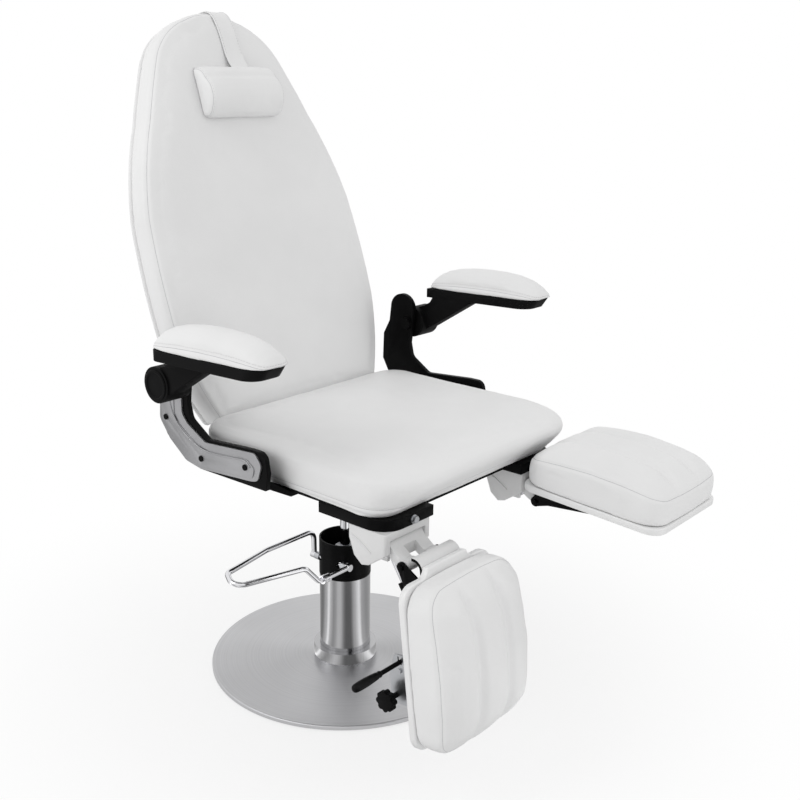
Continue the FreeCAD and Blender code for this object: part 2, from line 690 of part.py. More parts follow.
def pedal():
    side = "bushing_outer + turn_gap"
    middle = S.bushing_outer + S.turn_gap + S.hub_length / 2
    toe = S.shaft_z + S.pedal_lift
    points = [
        Vector(S.shaft_x, middle, S.shaft_z),
        Vector(S.shaft_x, middle + 1, toe),
        Vector(S.shaft_x - S.pedal_rear_run, middle - 3, toe + 3),
        Vector(1 - S.pedal_reach + S.toe_slant, S.toe_rear, toe + 6),
        Vector(1 - S.pedal_reach, S.toe_front, toe),
        Vector(S.clamp_x - S.pedal_rise_end, -middle - 2, toe - 10),
        Vector(S.clamp_x - S.pedal_rise_start, -middle, S.shaft_z),
        Vector(S.shaft_x, -middle, S.shaft_z),
    ]
    path = shaped("PedalPath", bent_wire(points, [S.bar_bend] * (len(points) - 2)))
    section = primitive("Circle", "PedalSection", ("shaft_x", side + " + hub_length / 2", "shaft_z"), "z",
                        Radius="bar_radius")
    bar = doc.addObject("Part::Sweep", "PedalSweep")
    bar.Sections = [section]
    bar.Spine = (path, ["Edge%d" % number for number in range(1, len(path.Shape.Edges) + 1)])
    bar.Solid = True
    hub_cut = cylinder("PedalBarEnds", "hub_radius", "2 * (%s + hub_length)" % side,
                       ("shaft_x", "-(%s + hub_length)" % side, "shaft_z"), "y")
    node("pedal_bar", cut("PedalBar", bar, hub_cut))
    node("pedal_shaft", cylinder("PedalShaft", "shaft_radius", "2 * (%s + hub_length)" % side,
                                 ("shaft_x", "-(%s + hub_length)" % side, "shaft_z"), "y"))
    hubs = []
    for name, start in (("Front", "-(%s + hub_length)" % side), ("Rear", side)):
        hubs.append(tube("PedalHub" + name, "hub_radius", "shaft_radius", "hub_length",
                         ("shaft_x", start, "shaft_z"), "y"))
    node("pedal_hubs", group("PedalHubs", *hubs))

    front = "-(%s + hub_length / 2)" % side
    ring = tube("ClampRing", "clamp_radius", "bar_radius", "clamp_length",
                ("clamp_x - clamp_length / 2", front, "shaft_z"), "x")
    screws = []
    holes = []
    for name, place in (("A", "clamp_x - clamp_length / 4"), ("B", "clamp_x + clamp_length / 4")):
        for kept, prefix in ((screws, "ClampScrew"), (holes, "ClampHole")):
            start = cylinder(prefix + name, "clamp_screw", "clamp_radius + clamp_screw",
                             (place, front + " - clamp_radius - clamp_screw", "shaft_z"), "y")
            kept.append(start)
    inside = cylinder("ClampScrewEnds", "bar_radius", "clamp_length",
                      ("clamp_x - clamp_length / 2", front, "shaft_z"), "x")
    node("pedal_clamp", group("PedalClamp", cut("ClampBody", ring, *holes),
                              cut("ClampScrews", group("ClampScrewPair", *screws), inside)))


# Seat frame


def seat_frame():
    long_tubes = []
    for name, start in (("R", "-(rail_inner + rail_width)"), ("L", "rail_inner")):
        outer = box("Rail" + name, (start, "frame_front", "frame_level"),
                    "rail_width", "frame_rear - frame_front", "frame_height")
        inner = box("RailInside" + name, (start + " + tube_wall", "frame_front", "frame_level + tube_wall"),
                    "rail_width - 2 * tube_wall", "frame_rear - frame_front", "frame_height - 2 * tube_wall")
        long_tubes.append(cut("RailTube" + name, outer, inner))
    cross = []
    for name, place in (("Front", "frame_front"), ("Rear", "cross_rear"),
                        ("HubFront", "-plate_half - rail_width"), ("HubRear", "plate_half - rail_width * 2")):
        cross.append(box("Cross" + name, ("-rail_inner", place, "frame_level"),
                         "rail_inner * 2", "rail_width", "frame_height"))
    hub_plate = box("HubPlate", ("-rail_inner", "-plate_half", "frame_level"),
                    "rail_inner * 2", "plate_half * 2", "plate_thick")
    outriggers = []
    top = "frame_level + frame_height"
    for name, side in SIDES:
        root = mirrored(side, "rail_inner + rail_width")
        bend = mirrored(side, SIDE_INNER + " - outrigger_run")
        end = mirrored(side, SIDE_INNER)
        outriggers.append(slab("Outrigger" + name, "XZ", [
            (root, top + " - outrigger_thick"),
            (bend, top + " - outrigger_thick"),
            (end, "plate_foot"),
            (end, "plate_foot + outrigger_thick * 1.6"),
            (bend, top),
            (root, top),
        ], "-outrigger_front - outrigger_width", "outrigger_width"))
    welded = fuse("SeatFrameWelded", *(long_tubes + cross + outriggers + [hub_plate]))
    hole = cylinder("HubHole", "swivel_radius", "frame_height", ("0", "0", "frame_level"))
    node("seat_frame", cut("SeatFrame", welded, hole))
    node("swivel_hub", tube("SwivelHub", "swivel_radius", "ram_radius + fit",
                            "frame_height + 2 * turn_gap", ("0", "0", "frame_level - 2 * turn_gap")))


def lugs_and_mounts():
    lug_parts = []
    for name, side in SIDES:
        for kind, inner in (("Inner", "recline_arm_x - recline_arm_thick / 2 - turn_gap - lug_thick"),
                            ("Outer", "recline_arm_x + recline_arm_thick / 2 + turn_gap")):
            start = outward(side, inner, inner + " + lug_thick")
            lug = slab("Lug%s%s" % (kind, name), "YZ", [
                (RECLINE_Y + " - recline_eye", "frame_level + frame_height"),
                (RECLINE_Y + " + recline_eye", "frame_level + frame_height"),
                (RECLINE_Y + " + recline_eye", RECLINE_Z),
                (RECLINE_Y + " - recline_eye", RECLINE_Z),
            ], start, "lug_thick")
            more(lug, "YZ", "Lug%s%s_eye" % (kind, name), start, "lug_thick",
                 circles=[((RECLINE_Y, RECLINE_Z), "recline_eye")])
            drill(lug, "YZ", "Lug%s%s_bore" % (kind, name), start + " + lug_thick", "lug_thick",
                  [((RECLINE_Y, RECLINE_Z), "bolt_radius")])
            lug_parts.append(lug)
    node("recline_lugs", group("ReclineLugs", *lug_parts))

    mounts = []
    bolts = []
    top = "frame_level + frame_height"
    bolt_z = "frame_level + frame_height / 2"
    for name, side in SIDES:
        outer = mirrored(side, MOUNT_OUTER)
        inner = mirrored(side, MOUNT_INNER)
        mount = slab("LegMount" + name, "XY", [
            (inner, "mount_rear"),
            (inner, "mount_front"),
            (outer, "mount_front"),
            (outer, "mount_rear"),
        ], "frame_level", "frame_height")
        round_corners(mount, "LegMount%s_profile" % name, "mount_corner", 2)
        leg_place = mirrored(side, "leg_x")
        drill(mount, "XY", "LegMount%s_bore" % name, top, "frame_height",
              [((leg_place, "swing_y"), "bolt_radius")])
        drill(mount, "XY", "LegMount%s_head" % name, top, "bolt_head_thick",
              [((leg_place, "swing_y"), "bolt_head_radius")])
        bolt_place = mirrored(side, "mount_bolt_x")
        drill(mount, "XZ", "LegMount%s_front_hole" % name, "-mount_front", "mount_bolt_depth",
              [((bolt_place, bolt_z), "mount_bolt_radius")])
        mounts.append(mount)
        shank = cylinder("MountBoltShank" + name, "mount_bolt_radius", "mount_bolt_depth",
                         (bolt_place, "mount_front", bolt_z), "y")
        washer = cylinder("MountBoltWasher" + name, "mount_bolt_radius * 2", "mount_bolt_radius / 2",
                          (bolt_place, "mount_front - mount_bolt_radius / 2", bolt_z), "y")
        head = primitive("Prism", "MountBoltHead" + name,
                         (bolt_place, "mount_front - mount_bolt_radius * 2", bolt_z), "y",
                         Circumradius="mount_bolt_radius * 1.7", Height="mount_bolt_radius * 1.5")
        bolts.append(fuse("MountBolt" + name, shank, washer, head))
    node("leg_mounts", group("LegMounts", *mounts))
    node("mount_bolts", group("MountBolts", *bolts))


def rounded_plan(half, front, rear, front_corner, rear_corner, level):
    """A level outline with straight sides and rounded corners."""
    slant = math.sqrt(0.5)
    points = []
    middles = []
    for x, y, corner, turn in ((half, rear, rear_corner, (1, 1)), (-half, rear, rear_corner, (-1, 1)),
                               (-half, front, front_corner, (-1, -1)), (half, front, front_corner, (1, -1))):
        centre = Vector(x - turn[0] * corner, y - turn[1] * corner, level)
        along_x = centre + Vector(turn[0] * corner, 0, 0)
        along_y = centre + Vector(0, turn[1] * corner, 0)
        ends = (along_x, along_y) if turn[0] == turn[1] else (along_y, along_x)
        points += ends
        middles += [centre + Vector(turn[0], turn[1], 0) * corner * slant, None]
    return closed_wire(points, middles)


def seat():
    base = S.frame_level + S.frame_height
    level = base + S.board_thick
    board = slab("SeatBoard", "XY", [
        ("-seat_half + board_inset", "seat_front + board_front_inset"),
        ("seat_half - board_inset", "seat_front + board_front_inset"),
        ("seat_half - board_inset", "seat_rear - board_inset"),
        ("-seat_half + board_inset", "seat_rear - board_inset"),
    ], "frame_level + frame_height", "board_thick")
    round_corners(board, "SeatBoard_profile", "seat_corner - board_inset", 0, 1)
    node("seat_board", board)
    # Share of the height, shares of the bulge and the nose, growth of the front corner, and the rear.
    layers = [
        (0.00, 0.00, 0.00, 0, 0),
        (0.24, 0.35, 0.35, 18, 0),
        (0.48, 0.70, 0.75, 38, 0),
        (0.69, 1.00, 1.00, 60, 0),
        (0.81, 0.90, 0.93, 66, 0),
        (0.89, 0.45, 0.73, 62, 1),
        (0.95, -0.80, 0.20, 50, -5),
        (1.00, -3.75, -1.09, 30, -32),
    ]
    wires = []
    for height, bulge, nose, corner, rear in layers:
        wires.append(rounded_plan(S.seat_half + bulge * S.seat_bulge, S.seat_front - nose * S.seat_nose,
                                  S.seat_rear + rear, S.seat_corner + corner,
                                  S.seat_corner, level + height * S.seat_thick))
    node("seat_cushion", loft("SeatCushion", wires))


# Side plates with their covers

SCREW_PLACES = (("152", "590"), ("53", "530"), ("-68", "543"))


def side_plates():
    plates = []
    covers = []
    screws = []
    for name, side in SIDES:
        start = outward(side, SIDE_INNER, SIDE_FACE)
        plate = slab("SidePlate" + name, "YZ", [
            ("lobe_y - lobe_radius", "lobe_z"),
            ("95", "628"),
            ("88", "598"),
            ("40", "568"),
            ("-76", "577"),
            ("-112", "577"),
            ("-119", "540"),
            ("outrigger_front", "plate_foot"),
            ("58", "plate_foot - 2"),
            ("106", "514"),
            ("158", "553"),
            ("174", "581"),
            ("172", "640"),
            ("155", "672"),
            ("lobe_y + lobe_radius", "lobe_z"),
        ], start, "side_thick")
        round_corners(plate, "SidePlate%s_profile" % name, "plate_corner", 2, 3, 5, 9, 10)
        more(plate, "YZ", "SidePlate%s_lobe" % name, start, "side_thick",
             circles=[(("lobe_y", "lobe_z"), "lobe_radius")])
        holes = [((y, z), "plate_screw") for y, z in SCREW_PLACES]
        holes.append((("arm_y", "arm_z"), "bolt_radius"))
        drill(plate, "YZ", "SidePlate%s_holes" % name, start + " + side_thick", "side_thick", holes)
        plates.append(plate)

        start = outward(side, SIDE_FACE, SIDE_FACE + " + cover_thick")
        cover = slab("CoverPlate" + name, "YZ", [
            ("108", "636"),
            ("108", "606"),
            ("94", "590"),
            ("44", "563"),
            ("-91", "574"),
            ("-108", "554"),
            ("-98", "523"),
            ("-80", "519"),
            ("58", "508"),
            ("100", "515"),
            ("146", "548"),
            ("174", "583"),
            ("170", "636"),
        ], start, "cover_thick")
        round_corners(cover, "CoverPlate%s_profile" % name, "cover_bend", 3, 9, 10, 11)
        round_corners(cover, "CoverPlate%s_profile" % name, "cover_corner", 1, 2, 4, 5, 6)
        band_start = outward(side, SIDE_FACE + " + cover_thick", COVER_FACE)
        more(cover, "YZ", "CoverPlate%s_band" % name, band_start, "cover_step", corners=[
            ("128", "628"),
            ("128", "594"),
            ("96", "572"),
            ("50", "548"),
            ("-74", "558"),
            ("-92", "545"),
            ("-86", "526"),
            ("56", "514"),
            ("98", "521"),
            ("142", "552"),
            ("167", "584"),
            ("164", "628"),
        ])
        round_corners(cover, "CoverPlate%s_band" % name, "band_corner", 1, 3, 4, 5, 6, 8, 10)
        drill(cover, "YZ", "CoverPlate%s_holes" % name,
              start + " + cover_thick + cover_step" if side > 0 else start + " + cover_thick",
              "cover_thick + cover_step", [((y, z), "plate_screw") for y, z in SCREW_PLACES])
        covers.append(cover)

        for i, (y, z) in enumerate(SCREW_PLACES):
            shank = cylinder("PlateScrewShank%s%d" % (name, i), "plate_screw",
                             "side_thick + cover_thick + cover_step",
                             (outward(side, SIDE_INNER, COVER_FACE), y, z), "x")
            head = cylinder("PlateScrewHead%s%d" % (name, i), "plate_screw_head", "plate_screw_rise",
                            (outward(side, COVER_FACE, COVER_FACE + " + plate_screw_rise"), y, z), "x")
            screws.append(fuse("PlateScrew%s%d" % (name, i), shank, head))
    node("side_plates", group("SidePlates", *plates))
    node("cover_plates", group("CoverPlates", *covers))
    node("plate_screws", group("PlateScrews", *screws))


# Pivot bolts of the arms, the recline arms and the leg brackets


def pivot_bolts():
    bolts = []
    for name, side in SIDES:
        head = cylinder("ArmBoltHead" + name, "bolt_head_radius", "bolt_head_thick",
                        (outward(side, SIDE_INNER + " - bolt_head_thick", SIDE_INNER), "arm_y", "arm_z"), "x")
        shank = cylinder("ArmBoltShank" + name, "bolt_radius", "arm_hub_reach - arm_hub_wall",
                         (outward(side, SIDE_INNER, ARM_HUB_OUTER + " - arm_hub_wall"), "arm_y", "arm_z"), "x")
        bolts.append(fuse("ArmBolt" + name, head, shank))

        inner = "recline_arm_x - recline_arm_thick / 2 - turn_gap - lug_thick"
        outer = "recline_arm_x + recline_arm_thick / 2 + turn_gap + lug_thick"
        shank = cylinder("ReclineBoltShank" + name, "bolt_radius", "(%s) - (%s)" % (outer, inner),
                         (outward(side, inner, outer), RECLINE_Y, RECLINE_Z), "x")
        head = cylinder("ReclineBoltHead" + name, "bolt_head_radius", "bolt_head_thick",
                        (outward(side, outer, outer + " + bolt_head_thick"), RECLINE_Y, RECLINE_Z), "x")
        nut = cylinder("ReclineBoltNut" + name, "bolt_head_radius", "bolt_head_thick",
                       (outward(side, inner + " - bolt_head_thick", inner), RECLINE_Y, RECLINE_Z), "x")
        bolts.append(fuse("ReclineBolt" + name, shank, head, nut))

        place = mirrored(side, "leg_x")
        top = "frame_level + frame_height"
        nut_top = BRACKET_TOP + " - bracket_wall - turn_gap"
        head = cylinder("SwingBoltHead" + name, "bolt_head_radius", "bolt_head_thick",
                        (place, "swing_y", top + " - bolt_head_thick"))
        nut = cylinder("SwingBoltNut" + name, "bolt_head_radius", "bolt_head_thick",
                       (place, "swing_y", nut_top + " - bolt_head_thick"))
        shank = cylinder("SwingBoltShank" + name, "bolt_radius", "%s - (%s)" % (top, nut_top),
                         (place, "swing_y", nut_top))
        bolts.append(fuse("SwingBolt" + name, head, nut, shank))
    node("pivot_bolts", group("PivotBolts", *bolts))


# Armrests


def arm_section(y, half, low, side_rise, rise):
    """An upright outline across the arm pad: flat below, drawn-in sides and an arched top."""
    middle = low + side_rise / 2
    points = [
        Vector(-half + 3, y, low),
        Vector(half - 3, y, low),
        Vector(half - 4, y, low + side_rise),
        Vector(-half + 4, y, low + side_rise),
    ]
    middles = [
        None,
        Vector(half, y, middle),
        Vector(0, y, low + rise),
        Vector(-half, y, middle),
    ]
    return closed_wire(points, middles)


def tray_top(y):
    """Height of the sloping tray's top at one place along it."""
    slope = "(tray_front_z - tray_rear_z) / (tray_rear_y - tray_front_y)"
    return "tray_rear_z + (tray_rear_y - (%s)) * %s" % (y, slope)


def armrest(name, side):
    neck_outer = ARM_NECK_INNER + " + arm_neck_thick"
    frame = slab("ArmFrame" + name, "YZ", [
        ("arm_y - 3", "arm_z + arm_hub_radius - 2"),
        ("arm_neck_rear + 28", "arm_z + arm_hub_radius + 5"),
        ("arm_neck_rear + 12", "arm_z + arm_hub_radius + 15"),
        ("arm_neck_rear + 3", "arm_z + arm_hub_radius + 29"),
        ("arm_neck_rear", tray_top("arm_neck_rear")),
        ("arm_neck_front", tray_top("arm_neck_front")),
        ("arm_neck_front - 12", "tray_rear_z - tray_thick"),
        ("arm_y - arm_hub_radius + 4", "arm_z - 15"),
    ], outward(side, ARM_NECK_INNER, neck_outer), "arm_neck_thick")
    tray_start = outward(side, ARM_PAD_MIDDLE + " - tray_half", ARM_PAD_MIDDLE + " + tray_half")
    more(frame, "YZ", "ArmFrame%s_tray" % name, tray_start, "tray_half * 2", corners=[
        ("tray_rear_y", "tray_rear_z"),
        ("tray_front_y", "tray_front_z"),
        ("tray_front_y + tray_slant", "tray_front_z - tray_thick"),
        ("tray_rear_y", "tray_rear_z - tray_thick"),
    ])
    middle = S.seat_half + S.seat_bulge + S.side_gap + S.arm_pad_start

    def tray_end(edge):
        ends = [end.Point for end in edge.Vertexes]
        if len(ends) != 2 or abs(ends[0].x - ends[1].x) > 1e-6:
            return False
        on_side = abs(abs(abs(ends[0].x) - middle) - S.tray_half) < 1e-6
        at_front = all(end.y < S.tray_front_y + S.tray_slant + 1e-6 for end in ends)
        at_rear = abs(ends[0].x) > middle and all(end.y > S.tray_rear_y - 1e-6 for end in ends)
        return on_side and (at_front or at_rear)
    round_edges(frame, "ArmFrame%s_tray_corners" % name, "tray_corner", tray_end)
    hub_inner = COVER_FACE + " + turn_gap"
    hub_length = "arm_hub_reach - side_thick - cover_thick - cover_step - turn_gap"
    hub_start = outward(side, hub_inner, ARM_HUB_OUTER)
    more(frame, "YZ", "ArmFrame%s_hub" % name, hub_start, hub_length,
         circles=[(("arm_y", "arm_z"), "arm_hub_radius")])
    bore_start = outward(side, ARM_HUB_OUTER + " - arm_hub_wall", hub_inner)
    drill(frame, "YZ", "ArmFrame%s_bore" % name, bore_start, hub_length + " - arm_hub_wall",
          [(("arm_y", "arm_z"), "bolt_radius + fit")])
    node("arm_frame_" + name, frame)

    slope = (S.tray_front_z - S.tray_rear_z) / (S.tray_rear_y - S.tray_front_y)
    # Place along the arm, share of the pad's half width, height of its side and of its arch.
    stations = [
        (79, 0.45, 4, 8),
        (66, 0.74, 8, 22),
        (40, 0.92, 12, 37),
        (-10, 1.0, 15, 48),
        (-70, 1.0, 16, 50),
        (-128, 1.0, 15, 48),
        (-175, 0.97, 12, 39),
        (-203, 0.85, 8, 26),
        (-217, 0.62, 5, 14),
    ]
    wires = []
    for y, share, side_rise, rise in stations:
        low = S.tray_rear_z + (S.tray_rear_y - y) * slope
        wires.append(arm_section(y, S.arm_pad_half * share, low, side_rise, rise * S.arm_pad_rise / 50))
    arm_pad = loft("ArmPad" + name, wires)
    arm_pad.Placement = Placement(Vector(side * middle, 0, 0), Rotation())
    node("arm_pad_" + name, arm_pad)


# Back: its own frame has X across, Y to the rear and Z up along the back

RECLINE_Y = "(back_y + recline_depth * cos(recline) - recline_drop * sin(recline))"
RECLINE_Z = "(back_z - recline_depth * sin(recline) - recline_drop * cos(recline))"
BACK_PLACE = Placement(Vector(0, S.back_y, S.back_z), Rotation(Vector(1, 0, 0), -S.recline))


def back_outline(depth, width, low, high):
    """The back's outline at one depth: straight foot, wide waist, tapered shoulders and round top."""
    # Shares of the greatest half width and of the length, with an arc's middle after each corner.
    right = [
        ((0.760, 0.000), None),
        ((0.810, 0.012), (0.793, 0.003)),
        ((1.000, 0.230), (0.918, 0.105)),
        ((0.982, 0.504), (1.004, 0.365)),
        ((0.767, 0.735), (0.893, 0.626)),
        ((0.573, 0.891), (0.676, 0.812)),
        ((0.233, 0.983), (0.440, 0.946)),
    ]
    half = S.seat_half + S.back_over

    def place(share):
        return Vector(share[0] * half * width, depth, low + share[1] * (high - low))
    points = [place(corner) for corner, middle in right]
    middles = [place(middle) for corner, middle in right[1:]]
    top = place((0.0, 1.0))
    flip = [Vector(-point.x, point.y, point.z) for point in reversed(points)]
    flipped = [Vector(-point.x, point.y, point.z) for point in reversed(middles)]
    return closed_wire(points + flip, middles + [top] + flipped + [None])


def back():
    low = -S.back_foot
    high = S.back_length
    # Depth behind the seam, width against the seam's, and how far the ends draw in.
    sides = [
        (S.back_pad, 1.015, 0, -2),
        (S.back_pad * 0.5, 1.03, 0, -6),
        (0, 1.0, 2, 0),
    ]
    crown = [
        (0, 1.0, 2, 0),
        (-S.back_crown * 0.45, 0.96, 16, 14),
        (-S.back_crown * 0.8, 0.88, 50, 46),
        (-S.back_crown, 0.72, 110, 105),
    ]
    halves = []
    for name, layers in (("BackSides", sides), ("BackFront", crown)):
        halves.append(loft(name, [back_outline(depth, width, low + foot, high - head)
                                  for depth, width, foot, head in layers]))
    cushion = fuse("BackCushion", *halves)
    cushion.Placement = BACK_PLACE
    node("back_cushion", cushion)
    board_wire = back_outline(S.back_pad, 1.015, low, high + 2)
    board = shaped("BackBoard", Part.Face(board_wire).extrude(Vector(0, S.back_board, 0)))
    board.Placement = BACK_PLACE
    node("back_board", board)

    rear = "back_pad + back_board"
    arms = []
    for name, side in SIDES:
        arm_inner = "recline_arm_x - recline_arm_thick / 2"
        start = outward(side, arm_inner, arm_inner + " + recline_arm_thick")
        arm = slab("ReclineArm" + name, "YZ", [
            ("recline_depth - recline_eye", "-recline_drop"),
            ("recline_depth + recline_eye", "-recline_drop"),
            (rear + " + recline_eye", "-recline_eye"),
            (rear + " + recline_eye", "recline_arm_length * 0.6"),
            (rear + " + recline_arm_thick", "recline_arm_length"),
            (rear, "recline_arm_length"),
            (rear, "-back_foot"),
            (rear + " - recline_eye", "-back_foot - recline_eye * 0.6"),
        ], start, "recline_arm_thick")
        round_corners(arm, "ReclineArm%s_profile" % name, "recline_eye", 2)
        flange_half = "recline_arm_thick * 2.5"
        place = mirrored(side, "recline_arm_x")
        more(arm, "YZ", "ReclineArm%s_flange" % name, "%s - %s" % (place, flange_half), "2 * " + flange_half,
             corners=[
                 (rear, "recline_eye - back_foot"),
                 (rear + " + recline_arm_thick / 2", "recline_eye - back_foot"),
                 (rear + " + recline_arm_thick / 2", "recline_arm_length"),
                 (rear, "recline_arm_length"),
        ])
        more(arm, "YZ", "ReclineArm%s_eye" % name, start, "recline_arm_thick",
             circles=[(("recline_depth", "-recline_drop"), "recline_eye")])
        drill(arm, "YZ", "ReclineArm%s_bore" % name, start + " + recline_arm_thick", "recline_arm_thick",
              [(("recline_depth", "-recline_drop"), "bolt_radius + fit")])
        arm.Placement = BACK_PLACE
        arms.append(arm)
    node("recline_arms", group("ReclineArms", *arms))
    headrest(cushion, board)


def headrest(cushion, board):
    height = S.pillow_high - S.pillow_low
    wires = []
    # Place along the pillow as a share of its half length, and the section's size there.
    for along, share in ((-1.0, 0.93), (-0.9, 0.99), (-0.4, 1.0), (0.4, 1.0), (0.9, 0.99), (1.0, 0.93)):
        x = S.pillow_middle + along * S.pillow_half
        middle = S.pillow_low + height * 0.45
        low = middle - height * 0.45 * share
        high = middle + height * 0.55 * share
        deep = -S.pillow_depth * share
        points = [
            Vector(x, 0, low),
            Vector(x, deep * 0.72, low + height * 0.06),
            Vector(x, deep * 0.78, middle + height * 0.24),
            Vector(x, 0, high),
        ]
        middles = [
            Vector(x, deep * 0.40, low - height * 0.01),
            Vector(x, deep, middle - height * 0.08),
            Vector(x, deep * 0.45, high - height * 0.08),
            None,
        ]
        wires.append(closed_wire(points, middles))
    blank = loft("PillowBlank", wires)
    blank.Placement = BACK_PLACE
    pillow = cut("Pillow", blank, cushion)
    node("headrest_pillow", pillow)

    thick = S.strap_thick
    top = S.back_length + 6
    front = -S.back_crown
    rear = S.back_pad + S.back_board
    points = [
        Vector(0, front - thick, S.pillow_high - 6),
        Vector(0, front - thick * 0.6, top - 60),
        Vector(0, 8, top + thick),
        Vector(0, S.back_pad, top + thick),
        Vector(0, rear + thick, top - 8),
        Vector(0, rear + thick, S.strap_rear_low),
        Vector(0, rear, S.strap_rear_low),
        Vector(0, rear, top - 40),
        Vector(0, S.back_pad / 2, top - 60),
        Vector(0, 0, S.pillow_high - 6),
    ]
    middles = [None] * len(points)
    middles[1] = Vector(0, front * 0.42, top - 16)
    middles[2] = Vector(0, S.back_pad * 0.58, top + thick * 1.6)
    middles[3] = Vector(0, rear, top)
    face = Part.Face(closed_wire(points, middles))
    band = shaped("StrapBlank", face.extrude(Vector(S.strap_width, 0, 0)))
    aside = Placement(Vector(S.strap_middle - S.strap_width / 2, 0, 0), Rotation())
    band.Placement = BACK_PLACE.multiply(aside)
    node("pillow_strap", cut("PillowStrap", band, cushion, board, pillow))


# Leg rests

BRACKET_TOP = "frame_level - turn_gap"
RIDE_TOP = "board_level - turn_gap"
WEB_LOW = RIDE_TOP + " - web_thick"


def leg_frame(name, side):
    """The place of a leg rest's own frame at its hinge."""
    tilt = S.tilt_r if name == "r" else S.tilt_l
    return Placement(Vector(side * S.leg_x, S.hinge_y, S.hinge_z), Rotation(Vector(1, 0, 0), tilt))


def in_leg(name, side, label, item):
    """Place a piece that was made in the leg rest's own frame."""
    if item.TypeId != "PartDesign::Body":
        item = group(item.Name + "_placed", item)
    item.Placement = leg_frame(name, side)
    return node(label + "_" + name, item)


def leg_bracket(name, side):
    half = "bracket_half"
    place = Placement(Vector(side * S.leg_x, 0, 0), Rotation())
    bracket = slab("LegBracket" + name, "XY", [
        ("-" + half, "bracket_front"),
        (half, "bracket_front"),
        (half, "bracket_rear"),
        ("-" + half, "bracket_rear"),
    ], BRACKET_TOP + " - bracket_wall", "bracket_wall")
    for cheek, start in (("a", "-" + half), ("b", half + " - bracket_wall")):
        more(bracket, "YZ", "LegBracket%s_cheek_%s" % (name, cheek), start, "bracket_wall", corners=[
            ("bracket_front", BRACKET_TOP),
            ("bracket_front", "bracket_low + 31"),
            ("bracket_front + 38", "bracket_low + 4"),
            ("bracket_front + 54", "bracket_low"),
            ("bracket_rear - 12", "bracket_low + 14"),
            ("bracket_rear", "bracket_low + 45"),
            ("bracket_rear", BRACKET_TOP),
        ])
    more(bracket, "YZ", "LegBracket%s_strip" % name, "-" + half, half + " * 2", corners=[
        ("bracket_front", "slot_top"),
        ("bracket_front + bracket_wall", "slot_top"),
        ("bracket_front + bracket_wall", BRACKET_TOP),
        ("bracket_front", BRACKET_TOP),
    ])
    for post, start in (("a", "-" + half), ("b", "slot_half")):
        more(bracket, "YZ", "LegBracket%s_post_%s" % (name, post), start, half + " - slot_half", corners=[
            ("bracket_front", "bracket_low + 31"),
            ("bracket_front + bracket_wall", "bracket_low + 31 - bracket_wall * 27 / 38"),
            ("bracket_front + bracket_wall", BRACKET_TOP),
            ("bracket_front", BRACKET_TOP),
        ])
    drill(bracket, "XY", "LegBracket%s_bore" % name, BRACKET_TOP, "bracket_wall",
          [(("0", "swing_y"), "bolt_radius + fit")])

    def corner(edge):
        ends = [end.Point for end in edge.Vertexes]
        if len(ends) != 2 or abs(ends[0].x - ends[1].x) + abs(ends[0].y - ends[1].y) > 1e-6:
            return False
        return abs(abs(ends[0].x) - S.bracket_half) < 1e-6 and abs(ends[0].y - S.bracket_front) < 1e-6
    round_edges(bracket, "LegBracket%s_corners" % name, "bracket_wall * 1.2", corner)
    bracket.Placement = place
    node("leg_bracket_" + name, bracket)
    hinge_arm(name, place)


def hinge_arm(name, place):
    root = BRACKET_TOP + " - bracket_wall"
    half = "arm_half"
    arm = slab("HingeArm" + name, "YZ", [
        ("bracket_rear - bracket_wall", root),
        ("bracket_rear - bracket_wall", root + " - arm_thick * 0.8"),
        ("bracket_front + 24", root + " - arm_thick"),
        ("bracket_front", "hinge_z + 4"),
        ("hinge_y", "hinge_z - barrel_eye"),
        ("hinge_y - 6", "hinge_z + 6"),
        ("hinge_y + 6", "hinge_z + barrel_eye - 1"),
        ("bracket_front - 1", "slot_top - 14"),
        ("bracket_front + 16", root),
    ], "-" + half, half + " * 2")
    more(arm, "YZ", "HingeArm%s_barrel" % name, "-" + half, half + " * 2",
         circles=[(("hinge_y", "hinge_z"), "barrel_eye")])
    gap = sketch_on(arm, "XY", "HingeArm%s_fork" % name, root)
    outline(gap, [
        ("-fork_half", "hinge_y - barrel_eye - 2"),
        ("fork_half", "hinge_y - barrel_eye - 2"),
        ("fork_half", "bracket_front - 3"),
        ("-fork_half", "bracket_front - 3"),
    ])
    pocket(arm, gap, "bracket_low")
    drill(arm, "XY", "HingeArm%s_nut_room" % name, root, "arm_thick",
          [(("0", "swing_y"), "bolt_head_radius + 2")])
    for lug, start in (("a", "-anchor_half - anchor_wall"), ("b", "anchor_half")):
        more(arm, "YZ", "HingeArm%s_anchor_%s" % (name, lug), start, "anchor_wall", corners=[
            ("anchor_y - strut_eye", root + " - arm_thick * 0.7"),
            ("anchor_y - strut_eye", "anchor_z - strut_eye"),
            ("anchor_y + strut_eye", "anchor_z - strut_eye"),
            ("anchor_y + strut_eye", root + " - arm_thick * 0.7"),
        ])
    for end, start in (("a", "-trunnion_end"), ("b", half)):
        more(arm, "YZ", "HingeArm%s_trunnion_%s" % (name, end), start, "trunnion_end - " + half,
             circles=[(("hinge_y", "hinge_z"), "trunnion_radius")])
    arm.Placement = place
    node("hinge_arm_" + name, arm)


